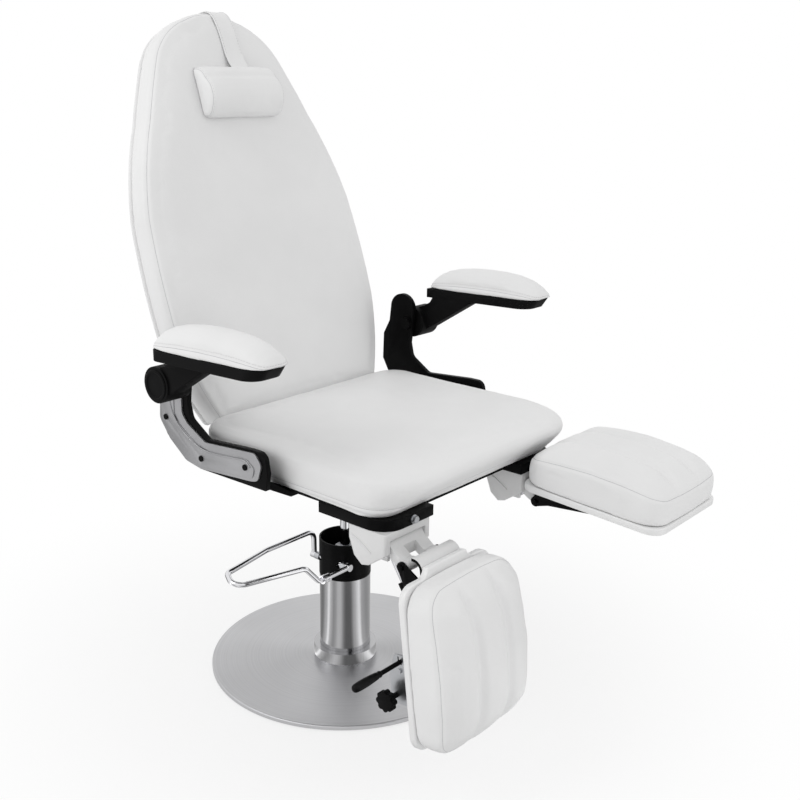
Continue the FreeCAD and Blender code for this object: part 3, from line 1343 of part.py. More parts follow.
def leg_rail(name, side):
    rail = slab("LegRail" + name, "YZ", [
        ("-web_start", WEB_LOW),
        ("-rail_length", WEB_LOW),
        ("-rail_length", RIDE_TOP),
        ("-web_start", RIDE_TOP),
    ], "-web_half", "web_half * 2")
    more(rail, "YZ", "LegRail%s_hood" % name, "-hood_half", "hood_half * 2", corners=[
        ("-web_start", WEB_LOW),
        ("-web_start", RIDE_TOP),
        ("hood_reach", RIDE_TOP),
        ("hood_reach", "hood_tail"),
        ("hood_reach - web_thick", "hood_tail"),
        ("hood_reach - web_thick", WEB_LOW),
    ])
    round_corners(rail, "LegRail%s_hood" % name, "hood_radius", 2)
    round_corners(rail, "LegRail%s_hood" % name, "hood_radius - web_thick", 5)
    for wall, start in (("a", "-rail_half"), ("b", "rail_half - rail_side")):
        more(rail, "YZ", "LegRail%s_side_%s" % (name, wall), start, "rail_side", corners=[
            ("0", "-rail_eye"),
            ("-web_start - rail_eye", "1"),
            ("-rail_length", WEB_LOW + " - rail_eye"),
            ("-rail_length", WEB_LOW),
            ("-web_start", WEB_LOW),
            ("rail_eye - 3", "7"),
        ])
        more(rail, "YZ", "LegRail%s_eye_%s" % (name, wall), start, "rail_side",
             circles=[(("0", "0"), "rail_eye")])
    for plate, start in (("a", "-clevis_half - clevis_wall"), ("b", "clevis_half")):
        more(rail, "YZ", "LegRail%s_clevis_%s" % (name, plate), start, "clevis_wall", corners=[
            ("-strut_w - clevis_eye", "strut_n"),
            ("-strut_w + clevis_eye", "strut_n"),
            ("-strut_w + clevis_eye * 2", WEB_LOW),
            ("-strut_w - clevis_eye * 2", WEB_LOW),
        ])
        more(rail, "YZ", "LegRail%s_clevis_eye_%s" % (name, plate), start, "clevis_wall",
             circles=[(("-strut_w", "strut_n"), "clevis_eye")])
    drill(rail, "YZ", "LegRail%s_bores" % name, "rail_half", "rail_half * 2", [
        (("0", "0"), "trunnion_radius + fit"),
        (("-strut_w", "strut_n"), "strut_bolt"),
    ])
    in_leg(name, side, "leg_rail", rail)


def lever_plate(name, side):
    inner = outward(side, "rail_half", "plate_reach")
    plate = slab("LeverPlate" + name, "YZ", [
        ("-lever_w + lever_eye", "lever_plate_high - lever_plate_thick"),
        ("-lever_plate_end + lever_plate_thick", "lever_plate_high - lever_plate_thick"),
        ("-lever_plate_end + lever_plate_thick", "lever_plate_high"),
        ("-lever_w + lever_eye", "lever_plate_high"),
    ], inner, "plate_reach - rail_half")
    wall = outward(side, "plate_reach - lever_plate_thick", "plate_reach")
    more(plate, "YZ", "LeverPlate%s_wall" % name, wall, "lever_plate_thick", corners=[
        ("-lever_plate_start", "lever_plate_high"),
        ("-lever_plate_start", "2"),
        ("-lever_plate_start - 40", "lever_plate_low"),
        ("-lever_plate_end", "lever_plate_low"),
        ("-lever_plate_end", "lever_plate_high"),
    ])
    round_corners(plate, "LeverPlate%s_wall" % name, "lever_plate_thick * 2", 1, 2, 3)
    boss = outward(side, "plate_reach - lever_plate_thick - boss_length", "plate_reach - lever_plate_thick")
    more(plate, "YZ", "LeverPlate%s_boss" % name, boss, "boss_length",
         circles=[(("-knob_w", "knob_n"), "boss_radius")])
    inner_face = "plate_reach - lever_plate_thick - boss_length"
    drill(plate, "YZ", "LeverPlate%s_bores" % name,
          outward(side, "plate_reach", inner_face), "boss_length + lever_plate_thick",
          [(("-knob_w", "knob_n"), "knob_shaft + fit")])
    drill(plate, "YZ", "LeverPlate%s_bolt_hole" % name,
          outward(side, "plate_reach", "plate_reach - lever_plate_thick"), "lever_plate_thick",
          [(("-lever_w - plate_bolt_on", "plate_bolt_n"), "plate_bolt_radius")])
    window = sketch_on(plate, "YZ", "LeverPlate%s_window" % name,
                       outward(side, "plate_reach", "plate_reach - lever_plate_thick"))
    outline(window, [
        ("-lever_w - lever_rod - turn_gap", "lever_n - lever_rod - turn_gap"),
        ("-lever_w + lever_rod + lever_swing", "lever_n - lever_rod - turn_gap"),
        ("-lever_w + lever_rod + lever_swing", "lever_n + lever_rod + turn_gap"),
        ("-lever_w - lever_rod - turn_gap", "lever_n + lever_rod + turn_gap"),
    ])
    pocket(plate, window, "lever_plate_thick")
    pin_low = "lever_n - lever_eye"
    more(plate, "XY", "LeverPlate%s_pin" % name, pin_low, "lever_plate_high - (%s)" % pin_low,
         circles=[((mirrored(side, "lever_pin_a"), "-lever_w"), "lever_pin_radius")])
    in_leg(name, side, "lever_plate", plate)


def rail_bolts(name, side):
    reach = "(clevis_half + clevis_wall)"
    foot = cylinder("StrutBoltShank" + name, "strut_bolt", reach + " * 2",
                    ("-" + reach, "-strut_w", "strut_n"), "x")
    heads = []
    for end, start in (("A", "-%s - strut_bolt" % reach), ("B", reach)):
        heads.append(cylinder("StrutBoltHead%s%s" % (end, name), "strut_bolt * 1.8", "strut_bolt",
                              (start, "-strut_w", "strut_n"), "x"))
    inner = "plate_reach - lever_plate_thick"
    shank = cylinder("PlateBoltShank" + name, "plate_bolt_radius", "lever_plate_thick",
                     (outward(side, inner, "plate_reach"), "-lever_w - plate_bolt_on", "plate_bolt_n"), "x")
    head = cylinder("PlateBoltHead" + name, "plate_bolt_head", "plate_bolt_radius",
                    (outward(side, "plate_reach", "plate_reach + plate_bolt_radius"),
                     "-lever_w - plate_bolt_on", "plate_bolt_n"), "x")
    strut_bolt = fuse("StrutBolt" + name, foot, *heads)
    plate_bolt = fuse("PlateBolt" + name, shank, head)
    in_leg(name, side, "rail_bolts", group("RailBolts" + name, strut_bolt, plate_bolt))


def leg_board(name, side):
    board = slab("LegBoard" + name, "XY", [
        ("-hood_half", "neck_end"),
        ("-hood_half", "-shoulder"),
        ("-leg_half", "-shoulder"),
        ("-leg_half", "-leg_length"),
        ("leg_half", "-leg_length"),
        ("leg_half", "-shoulder"),
        ("hood_half", "-shoulder"),
        ("hood_half", "neck_end"),
    ], "board_level", "leg_board_thick")
    round_corners(board, "LegBoard%s_profile" % name, "leg_corner", 3, 4)
    round_corners(board, "LegBoard%s_profile" % name, "shoulder_corner", 1, 2, 5, 6)
    in_leg(name, side, "leg_board", board)

    slides = []
    lip = WEB_LOW + " - turn_gap - slide_wall"
    for end, flip in (("A", 1), ("B", -1)):
        slide = slab("Slide%s%s" % (end, name), "XZ", [
            ("%d * (web_half + turn_gap + slide_wall)" % flip, "board_level"),
            ("%d * (web_half + turn_gap)" % flip, "board_level"),
            ("%d * (web_half + turn_gap)" % flip, lip + " + slide_wall"),
            ("%d * (web_half + turn_gap - slide_wall * 2)" % flip, lip + " + slide_wall"),
            ("%d * (web_half + turn_gap - slide_wall * 2)" % flip, lip),
            ("%d * (web_half + turn_gap + slide_wall)" % flip, lip),
        ], "slide_start", "slide_length")
        slides.append(slide)
    in_leg(name, side, "slide_rails", group("SlideRails" + name, *slides))


def pad_section(along, half, seam, crown):
    """An upright outline across the leg pad, with two sewn channels in its top."""
    base = S.board_level + S.leg_board_thick
    edge = base + seam
    top = edge + crown
    channel = S.leg_half / 3
    dip = min(4, crown)
    inner = channel * half / S.leg_half
    points = [
        Vector(-half + 3, -along, base),
        Vector(half - 3, -along, base),
        Vector(half - 1, -along, edge),
        Vector(inner, -along, top - dip),
        Vector(-inner, -along, top - dip),
        Vector(-half + 1, -along, edge),
    ]
    shoulder = (half - 1 + inner) / 2
    middles = [
        None,
        Vector(half + 1.5, -along, base + seam * 0.45),
        Vector(shoulder, -along, edge + (crown - dip) * 0.5 + 4),
        Vector(0, -along, top + 1),
        Vector(-shoulder, -along, edge + (crown - dip) * 0.5 + 4),
        Vector(-half - 1.5, -along, base + seam * 0.45),
    ]
    return closed_wire(points, middles)


def leg_pad(name, side):
    # Place along the rest, share of the half width, share of the seam's height, share of the crown.
    stations = [
        (14, 0.84, 0.74, 0.30),
        (22, 0.93, 0.80, 0.55),
        (42, 0.99, 0.90, 0.85),
        (90, 1.0, 1.0, 1.0),
        (150, 1.0, 1.04, 1.0),
        (215, 1.0, 1.0, 1.0),
        (262, 0.99, 0.92, 0.85),
        (284, 0.93, 0.84, 0.60),
        (295, 0.80, 0.76, 0.35),
    ]
    wires = []
    for along, share, height, crown in stations:
        wires.append(pad_section(along, S.leg_half * share, S.pad_rise * height, S.pad_crown * crown))
    in_leg(name, side, "leg_pad", loft("LegPad" + name, wires))


def strut(name, side):
    """The gas strut, made along +Z from its foot on the rail and aimed at its anchor."""
    frame = leg_frame(name, side)
    foot = frame.multVec(Vector(0, -S.strut_w, S.strut_n))
    anchor = Vector(side * S.leg_x, S.anchor_y, S.anchor_z)
    reach = (anchor - foot).Length
    aim = math.degrees(math.atan2(-(anchor - foot).y, (anchor - foot).z))
    place = Placement(foot, Rotation(Vector(1, 0, 0), aim))

    outer = cylinder("StrutTube" + name, "strut_radius", "strut_length - strut_eye * 0.5",
                     ("0", "0", "strut_eye * 0.5"))
    eye = cylinder("StrutFoot" + name, "strut_eye", "strut_eye_half * 2", ("-strut_eye_half", "0", "0"), "x")
    bolt_bore = cylinder("StrutFootBore" + name, "strut_bolt + fit", "strut_radius * 2",
                         ("-strut_radius", "0", "0"), "x")
    bottom = ("0", "0", "strut_eye * 2")
    bore = cylinder("StrutBore" + name, "strut_bore", "strut_length - strut_eye * 2.5", bottom)
    gland = cylinder("StrutGland" + name, "strut_rod + fit", "strut_length", bottom)
    body_part = cut("StrutCylinderBody" + name, fuse("StrutCylinderBlank" + name, outer, eye),
                    bolt_bore, bore, gland)
    placed = group("StrutCylinder" + name, body_part)
    placed.Placement = place
    node("strut_cylinder_" + name, placed)

    rod = cylinder("StrutRodBar" + name, "strut_rod", "strut_rod_length", ("0", "0", "-strut_rod_length"))
    piston = cylinder("StrutPiston" + name, "strut_bore - fit", "strut_eye",
                      ("0", "0", "-strut_rod_length"))
    start = ("-strut_eye_half", "0", "0")
    rod_eye = cylinder("StrutRodEye" + name, "strut_eye", "strut_eye_half * 2", start, "x")
    rod_bore = cylinder("StrutRodBore" + name, "strut_bolt", "strut_eye_half * 2", start, "x")
    rod_group = group("StrutRod" + name, cut("StrutRodBody" + name,
                                             fuse("StrutRodBlank" + name, rod, piston, rod_eye), rod_bore))
    rod_group.Placement = place.multiply(Placement(Vector(0, 0, reach), Rotation()))
    node("strut_rod_" + name, rod_group)


def star_knob(name, side):
    """The knob's head with its lobes, made round the X axis and then moved to its place."""
    knob = body("StarKnob" + name)
    start = outward(side, "0", "knob_thick")
    core = sketch_on(knob, "YZ", "StarKnob%s_core" % name, start)
    circle(core, ("0", "0"), "knob_radius - knob_lobe * 0.5")
    pad(knob, core, "knob_thick")
    lobe = sketch_on(knob, "YZ", "StarKnob%s_lobe" % name, start)
    circle(lobe, ("0", "knob_radius - knob_lobe"), "knob_lobe")
    lobe_pad = pad(knob, lobe, "knob_thick")
    pattern = knob.newObject("PartDesign::PolarPattern", "StarKnob%s_lobes" % name)
    pattern.Originals = [lobe_pad]
    pattern.Axis = (next(line for line in knob.Origin.OriginFeatures if line.Role == "X_Axis"), [""])
    pattern.Angle = 360
    pattern.setExpression("Occurrences", bound("knob_lobes"))
    knob.Tip = pattern
    reach = "knob_inner - plate_reach + lever_plate_thick + boss_length"
    more(knob, "YZ", "StarKnob%s_shaft" % name, outward(side, "-(%s)" % reach, "0"), reach,
         circles=[(("0", "0"), "knob_shaft")])
    knob.Placement = leg_frame(name, side).multiply(
        Placement(Vector(side * S.knob_inner, -S.knob_w, S.knob_n), Rotation()))
    node("star_knob_" + name, knob)


def release_lever(name, side):
    eye = cylinder("LeverEye" + name, "lever_eye", "lever_eye * 2 - 2 * turn_gap",
                   (mirrored(side, "lever_pin_a"), "-lever_w", "lever_n - lever_eye + turn_gap"))
    rod = cylinder("LeverRod" + name, "lever_rod", "lever_reach - lever_pin_a - 2",
                   (outward(side, "lever_pin_a", "lever_reach - 2"), "-lever_w", "lever_n"), "x")
    bore = cylinder("LeverBore" + name, "lever_pin_radius + fit", "lever_eye * 2",
                    (mirrored(side, "lever_pin_a"), "-lever_w", "lever_n - lever_eye"))
    in_leg(name, side, "release_lever", cut("ReleaseLever" + name, fuse("LeverBlank" + name, eye, rod), bore))

    grip = body("LeverGrip" + name)
    start = outward(side, "lever_reach - grip_length", "lever_reach")
    sketch = sketch_on(grip, "YZ", "LeverGrip%s_profile" % name, start)
    circle(sketch, ("-lever_w", "lever_n"), "grip_radius")
    pad(grip, sketch, "grip_length")
    round_edges(grip, "LeverGrip%s_ends" % name, "grip_radius * 0.4", lambda edge: edge.Closed)
    drill(grip, "YZ", "LeverGrip%s_bore" % name,
          outward(side, "lever_reach - 2", "lever_reach - grip_length"), "grip_length - 2",
          [(("-lever_w", "lever_n"), "lever_rod")])
    in_leg(name, side, "lever_grip", grip)


floor_disc()
column()
pump()
lift()
pedal()
seat_frame()
lugs_and_mounts()
seat()
side_plates()
pivot_bolts()
back()
for side_name, side_sign in SIDES:
    armrest(side_name, side_sign)
    leg_bracket(side_name, side_sign)
    leg_rail(side_name, side_sign)
    lever_plate(side_name, side_sign)
    rail_bolts(side_name, side_sign)
    leg_board(side_name, side_sign)
    leg_pad(side_name, side_sign)
    strut(side_name, side_sign)
    star_knob(side_name, side_sign)
    release_lever(side_name, side_sign)

doc.recompute()
faults = []
for item in doc.Objects:
    if "Invalid" in item.State or "Error" in item.State:
        faults.append("%s is %s" % (item.Name, item.State))
for item in nodes:
    if item.Shape.isNull() or not item.Shape.isValid() or item.Shape.Volume <= 0:
        faults.append("%s has no valid shape" % item.Label)
if faults:
    raise ValueError("; ".join(faults))
for item in nodes:
    item.Shape.exportStep(os.path.join("parts", item.Label + ".step"))
print("%d pieces written" % len(nodes))
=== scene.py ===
"""Pedicure chair: upholstery, moulded covers, finishes and studio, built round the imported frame."""

import json
import math

import bpy
from bpy.props import FloatProperty, FloatVectorProperty, PointerProperty
from mathutils import Matrix, Vector, noise
from mathutils.bvhtree import BVHTree
from mathutils.kdtree import KDTree


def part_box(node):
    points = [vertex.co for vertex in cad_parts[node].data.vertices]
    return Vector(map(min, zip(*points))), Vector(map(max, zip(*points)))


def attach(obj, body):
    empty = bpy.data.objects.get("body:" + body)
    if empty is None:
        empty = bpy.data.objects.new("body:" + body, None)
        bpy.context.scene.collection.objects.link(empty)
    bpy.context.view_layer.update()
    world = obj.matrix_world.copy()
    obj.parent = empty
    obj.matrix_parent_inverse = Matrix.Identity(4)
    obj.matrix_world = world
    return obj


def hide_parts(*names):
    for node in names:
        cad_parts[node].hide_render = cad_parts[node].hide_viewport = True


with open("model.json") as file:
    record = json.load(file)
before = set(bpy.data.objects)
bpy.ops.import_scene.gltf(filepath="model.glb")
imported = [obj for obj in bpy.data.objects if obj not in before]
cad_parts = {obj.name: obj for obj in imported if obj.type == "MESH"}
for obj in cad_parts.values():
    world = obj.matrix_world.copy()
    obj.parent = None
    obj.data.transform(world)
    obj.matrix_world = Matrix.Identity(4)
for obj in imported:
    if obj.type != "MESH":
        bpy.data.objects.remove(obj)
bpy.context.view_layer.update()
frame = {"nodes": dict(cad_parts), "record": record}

bl_info = {
    "name": "Pedicure Chair",
    "version": (1, 0, 0),
    "blender": (4, 5, 0),
    "location": "View3D > Sidebar > Chair",
    "description": "Upholstery, moulded covers and finishes of a pedicure chair",
    "category": "Object",
}

MM = 0.001
SIDES = (("r", -1), ("l", 1))

# Points nearer to each other than this become one, and edges sharper than this stay edges.
MERGE = 0.00001
SHARP = math.radians(35)

# The back leans on a frame of its own: X across, Y to the rear, Z up along the back.
BACK_PLACE = Matrix.Translation((0, 0.123, 0.580)) @ Matrix.Rotation(math.radians(-18.84), 4, "X")
BACK_LENGTH = 0.791
BACK_HALF = 0.279
BACK_DEPTH = 0.050
BACK_DROP = 0.022

# How far a filled cushion may draw in from the shape that it was cut to.
DRAW_IN = 0.0012
FILLING_FRAMES = 20

# Each leg rest has a frame at its hinge: -Y along the rest to its foot end, Z up to the pad.
LEG_ACROSS = 0.201
LEG_TILT = {"r": math.radians(83), "l": math.radians(3.3)}
LEG_PLACE = {
    name: Matrix.Translation((side * LEG_ACROSS, -0.3684, 0.4164)) @ Matrix.Rotation(LEG_TILT[name], 4, "X")
    for name, side in SIDES
}
LEG_HALF = 0.119
PAD_BASE = 0.0623
PAD_START = 0.003
PAD_END = 0.297

ARM_ACROSS = 0.3835
ARM_HALF = 0.0435
COVER_FACE = 0.329


# Settings that a user would change


def length_setting(name, description, default):
    return FloatProperty(
        name=name, description=description, default=default, subtype="DISTANCE", unit="LENGTH")


def colour_setting(name, description, default):
    return FloatVectorProperty(name=name, description=description, subtype="COLOR", default=default)


class UpholsterySettings(bpy.types.PropertyGroup):
    leather: colour_setting("Leather", "Colour of the leather", (0.84, 0.84, 0.84))
    swell: length_setting("Swell", "How far a filled cushion may swell", 0.006)
    pressure: FloatProperty(name="Filling", description="Pressure of the filling", default=4.0)
    seam_width: length_setting("Seam width", "Half of the width that a seam draws in", 0.007)
    seam_depth: length_setting("Seam depth", "How deep a seam is drawn in", 0.0016)
    # The seam's thread line is darker than the leather and paints the shade in the seam's groove.
    thread: length_setting("Thread", "Radius of the seam's thread line", 0.0006)
    stitch: length_setting("Stitch", "Distance from one stitch to the next", 0.006)


class FinishSettings(bpy.types.PropertyGroup):
    steel: colour_setting("Steel", "Colour of the brushed steel", (0.50, 0.50, 0.51))
    black: colour_setting("Black", "Colour of the black parts", (0.004, 0.004, 0.0042))
    plastic: colour_setting("White plastic", "Colour of the leg boards", (0.86, 0.86, 0.86))


class StudioSettings(bpy.types.PropertyGroup):
    lens: FloatProperty(
        name="Lens", description="Focal length in millimetres on a 36 mm sensor", default=49.27)
    eye: FloatVectorProperty(
        name="Eye", description="Place of the camera", subtype="TRANSLATION", unit="LENGTH",
        default=(-1.53914, -1.45991, 1.22300))
    azimuth: FloatProperty(
        name="Azimuth", description="Direction of view from the Y axis towards the X axis",
        subtype="ANGLE", default=math.radians(49.53))
    pitch: FloatProperty(
        name="Pitch", description="Downward tilt of the view", subtype="ANGLE", default=math.radians(16.81))
    roll: FloatProperty(
        name="Roll", description="Roll of the camera", subtype="ANGLE", default=math.radians(0.76))
    sky: FloatProperty(name="Sky", description="Strength of the even light", default=0.76)
    key: FloatProperty(name="Key", description="Power of the key softbox in watts", default=27.0)
    fill: FloatProperty(name="Fill", description="Power of the fill softbox in watts", default=9.5)


# Modelling helpers


def settle():
    """Leave edit mode and deselect everything."""
    if bpy.context.object and bpy.context.object.mode != "OBJECT":
        bpy.ops.object.mode_set(mode="OBJECT")
    bpy.ops.object.select_all(action="DESELECT")


def pick(piece):
    settle()
    piece.select_set(True)
    bpy.context.view_layer.objects.active = piece


def edit_all():
    """Enter edit mode with all of the active piece selected."""
    bpy.ops.object.mode_set(mode="EDIT")
    bpy.ops.mesh.select_all(action="SELECT")


def linked(name, data):
    """A new piece in the scene, selected and active."""
    piece = bpy.data.objects.new(name, data)
    bpy.context.scene.collection.objects.link(piece)
    pick(piece)
    return piece


def placed(points, matrix):
    return [matrix @ point for point in points]


def mirrored(points):
    """The same points on the other side of the middle, in the opposite order."""
    return [Vector((-point.x, point.y, point.z)) for point in reversed(points)]


def facing(side, place):
    """A frame at a place whose Z looks outwards on one side of the chair."""
    return Matrix.Translation(place) @ Matrix.Rotation(math.radians(90 * side), 4, "Y")


def skin(name, rings):
    """A closed skin over rings of points: a grid wrapped round them, merged at its seam and filled."""
    settle()
    across = len(rings[0])
    bpy.ops.mesh.primitive_grid_add(x_subdivisions=across, y_subdivisions=len(rings) - 1, size=1)
    piece = bpy.context.object
    piece.name = piece.data.name = name
    points = [ring[i % across] for ring in rings for i in range(across + 1)]
    for vertex, point in zip(piece.data.vertices, points):
        vertex.co = point
    edit_all()
    bpy.ops.mesh.remove_doubles(threshold=MERGE)
    bpy.ops.mesh.fill_holes(sides=0)
    bpy.ops.mesh.select_all(action="SELECT")
    bpy.ops.mesh.normals_make_consistent(inside=False)
    bpy.ops.object.mode_set(mode="OBJECT")
    bpy.ops.object.shade_smooth()
    return piece


def softened(node_name, name, width, segments=3):
    """A copy of a CAD node with whole faces and rounded edges, which stands for the node."""
    piece = linked(name, frame["nodes"][node_name].data.copy())
    edit_all()
    bpy.ops.mesh.remove_doubles(threshold=MERGE)
    bpy.ops.mesh.dissolve_limited(angle_limit=math.radians(0.5))
    bpy.ops.object.mode_set(mode="OBJECT")
    bevel = piece.modifiers.new("Edges", "BEVEL")
    bevel.width = width
    bevel.segments = segments
    bevel.limit_method = "ANGLE"
    bevel.angle_limit = SHARP
    bevel.miter_outer = "MITER_ARC"
    bevel.use_clamp_overlap = True
    bpy.ops.object.modifier_apply(modifier=bevel.name)
    bpy.ops.object.shade_smooth_by_angle(angle=SHARP)
    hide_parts(node_name)
    return piece


def inflate(piece, voxel, limit, hold):
    """Fill a cushion: an even skin swells under pressure, then keeps to its shape and its space."""
    pick(piece)
    piece.data.remesh_voxel_size = voxel
    bpy.ops.object.voxel_remesh()
    made = [(vertex.co.copy(), vertex.normal.copy()) for vertex in piece.data.vertices]
    edit_all()
    bpy.ops.transform.shrink_fatten(value=-limit * 0.6)
    bpy.ops.object.mode_set(mode="OBJECT")
    start = [vertex.co.copy() for vertex in piece.data.vertices]
    run_filling(piece)
    for vertex, old, (cut, outward) in zip(piece.data.vertices, start, made):
        move = vertex.co - old
        if move.length > limit:
            vertex.co = old + move * (limit / move.length)
        sunk = -(vertex.co - cut).dot(outward) - DRAW_IN
        if sunk > 0:
            vertex.co += outward * sunk
    subdivide(piece)
    for vertex in piece.data.vertices:
        vertex.co = hold(vertex.co)


def run_filling(piece):
    """Let the filling press on the skin as cloth, and keep the shape that it comes to."""
    cloth = piece.modifiers.new("Filling", "CLOTH")
    cloth.settings.use_pressure = True
    cloth.settings.uniform_pressure_force = bpy.context.scene.chair_upholstery.pressure
    cloth.settings.effector_weights.gravity = 0
    cloth.settings.tension_stiffness = cloth.settings.compression_stiffness = 25
    cloth.settings.bending_stiffness = 4
    cloth.settings.quality = 4
    cloth.collision_settings.use_collision = False
    cloth.point_cache.frame_start = 1
    cloth.point_cache.frame_end = FILLING_FRAMES
    for number in range(1, FILLING_FRAMES + 1):
        bpy.context.scene.frame_set(number)
    bpy.ops.object.modifier_apply(modifier=cloth.name)
    bpy.context.scene.frame_set(1)


def subdivide(piece, levels=1):
    pick(piece)
    surface = piece.modifiers.new("Surface", "SUBSURF")
    surface.levels = surface.render_levels = levels
    bpy.ops.object.modifier_apply(modifier=surface.name)
    bpy.ops.object.shade_smooth()


def surface_of(piece):
    bpy.context.view_layer.update()
    return BVHTree.FromObject(piece, bpy.context.evaluated_depsgraph_get())


def parted(piece, name, chosen):
    """Part the faces whose centre is chosen from a piece, as a piece of their own."""
    pick(piece)
    for face in piece.data.polygons:
        face.select = chosen(face.center)
    bpy.ops.object.mode_set(mode="EDIT")
    bpy.ops.mesh.select_mode(type="FACE")
    bpy.ops.mesh.separate(type="SELECTED")
    bpy.ops.object.mode_set(mode="OBJECT")
    part = next(item for item in bpy.context.selected_objects if item != piece)
    part.name = part.data.name = name
    return part


def even_steps(points, step, closed=True):
    """Places at even distances along a line of points."""
    line = points + points[:1] if closed else points
    places = [line[0]]
    left = step
    for start, end in zip(line, line[1:]):
        length = (end - start).length
        at = 0.0
        while length - at >= left and length > 0:
            at += left
            places.append(start.lerp(end, at / length))
            left = step
        left -= length - at
    return places


def draw_in(piece, places, width, depth):
    """Press a seam into a cushion along places on its surface."""
    tree = KDTree(len(places))
    for i, place in enumerate(places):
        tree.insert(place, i)
    tree.balance()
    moves = []
    for vertex in piece.data.vertices:
        distance = tree.find(vertex.co)[2]
        if distance < width:
            share = 1 - (distance / width) ** 2
            moves.append((vertex, vertex.normal * (-depth * share * share)))
    for vertex, move in moves:
        vertex.co += move
    piece.data.update()


def wrinkle(piece, size, depth, keep=lambda point: 1.0):
    """Low, broad unevenness of stretched leather."""
    moves = []
    for vertex in piece.data.vertices:
        value = noise.noise(vertex.co / size) + 0.5 * noise.noise(vertex.co / (size * 0.43))
        moves.append(vertex.normal * (value * depth * keep(vertex.co)))
    for vertex, move in zip(piece.data.vertices, moves):
        vertex.co += move
    piece.data.update()


def cord_line(name, points, radius, closed=True):
    """A round line through points, made a mesh."""
    line = bpy.data.curves.new(name, "CURVE")
    line.dimensions = "3D"
    line.bevel_depth = radius
    line.bevel_resolution = 1
    line.use_fill_caps = True
    spline = line.splines.new("POLY")
    spline.points.add(len(points) - 1)
    for spot, point in zip(spline.points, points):
        spot.co = (*point, 1)
    spline.use_cyclic_u = closed
    linked(name, line)
    bpy.ops.object.convert(target="MESH")
    piece = bpy.context.object
    piece.data.name = name
    bpy.ops.object.shade_smooth()
    return piece


def bead(name, across, points, step, radius, rounds=0):
    """A raised line on an upright face, through places given as Y and Z in millimetres."""
    line = even_steps([Vector((across, y * MM, z * MM)) for y, z in points], step, closed=False)
    for _ in range(rounds):
        between = [(a + b * 2 + c) / 4 for a, b, c in zip(line, line[1:], line[2:])]
        line = [line[0], *between, line[-1]]
    return cord_line(name, line, radius, closed=False)


def lathe(name, profile, place, count=40):
    """A turned piece from radii and places along its axis, the place's Z, in millimetres."""
    rings = []
    for radius, along in profile:
        turns = [2 * math.pi * i / count for i in range(count)]
        rings.append([place @ (Vector((radius * math.cos(turn), radius * math.sin(turn), along)) * MM)
                      for turn in turns])
    piece = skin(name, rings)
    pick(piece)
    bpy.ops.object.shade_smooth_by_angle(angle=math.radians(32))
    return piece


def seam(name, piece, points, body):
    """Draw a seam in and lay its thread line on the leather, a little sunk; the line is darker than the
    leather, painted shade of the seam's groove.
    """
    settings = bpy.context.scene.chair_upholstery
    step, sink = 0.004, 0.3
    tree = surface_of(piece)
    line = [tree.find_nearest(point)[0] for point in even_steps(points, step)]
    draw_in(piece, line, settings.seam_width, settings.seam_depth)
    tree = surface_of(piece)
    path = []
    for point in line:
        spot, normal = tree.find_nearest(point)[:2]
        path.append(spot - normal * settings.thread * sink)
    dress(cord_line(name, path, settings.thread), body, "Painted seam shade line")


def stitches(name, piece, points, body, closed=True):
    """A row of short stitches along a line on the leather, one modelled and copied."""
    step = bpy.context.scene.chair_upholstery.stitch
    radius, lift, taper = 0.00055, 0.0002, 0.45
    tree = surface_of(piece)
    settle()
    bpy.ops.mesh.primitive_cylinder_add(vertices=6, radius=radius, depth=step * 0.55,
                                        end_fill_type="TRIFAN")
    master = bpy.context.object
    edit_all()
    bpy.ops.mesh.subdivide(number_cuts=1)
    bpy.ops.object.mode_set(mode="OBJECT")
    for vertex in master.data.vertices:
        reach = abs(vertex.co.z) / (step * 0.275)
        vertex.co.x *= 1 - taper * reach ** 4
        vertex.co.y *= 1 - taper * reach ** 4
    places = even_steps(points, step, closed)
    copies = []
    for start, end in zip(places, places[1:]):
        spot, normal = tree.find_nearest(start)[:2]
        turn = (end - start).normalized().to_track_quat("Z", "Y").to_matrix().to_4x4()
        copy = bpy.data.objects.new(name, master.data.copy())
        copy.data.transform(Matrix.Translation(spot + normal * lift) @ turn)
        bpy.context.scene.collection.objects.link(copy)
        copies.append(copy)
    bpy.data.objects.remove(master)
    settle()
    for copy in copies:
        copy.select_set(True)
    bpy.context.view_layer.objects.active = copies[0]
    bpy.ops.object.join()
    row = bpy.context.object
    row.name = row.data.name = name
    bpy.ops.object.shade_smooth()
    dress(row, body, "Stitch thread")


# Finishes

# The slot of each finish; the first finish of a slot is the one that the CAD's own nodes get.
SLOT_OF = {
    "White leather": "white_leather", "Painted seam shade line": "white_leather", "Stitch thread": "white_leather",
    "Polished column steel": "steel_brushed", "Turned disc steel": "steel_brushed",
    "Pedal chrome": "chrome", "Zinc plate": "zinc_steel", "Black enamel": "black_metal",
    "Cast silver cover": "silver_cover", "White enamel": "white_metal",
    "White moulded board": "white_plastic", "Black moulded arm": "black_plastic",
    "Glossy black grip": "black_plastic", "Black rubber": "black_rubber", "Black seat board": "board_wood",
}


def dress(piece, body, finish):
    """Give a piece its body and its finish."""
    piece.data.materials.clear()
    piece.data.materials.append(bpy.data.materials[finish])
    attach(piece, body)


def soft(piece, body, node_name):
    """Make a piece of leather stand for a padded node of the CAD."""
    dress(piece, body, "White leather")
    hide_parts(node_name)


def feed(tree, taker, inputs):
    """Give a node's inputs, by name or number, a value or another node's output."""
    for key, value in inputs.items():
        if isinstance(value, bpy.types.NodeSocket):
            tree.links.new(value, taker.inputs[key])
        else:
            taker.inputs[key].default_value = value


def shade(tree, kind, inputs=None, output=0, **settings):
    """Add a shader node with its settings and inputs, and give one of its outputs."""
    made = tree.nodes.new("ShaderNode" + kind)
    for key, value in settings.items():
        setattr(made, key, value)
    feed(tree, made, inputs or {})
    return made.outputs[output]


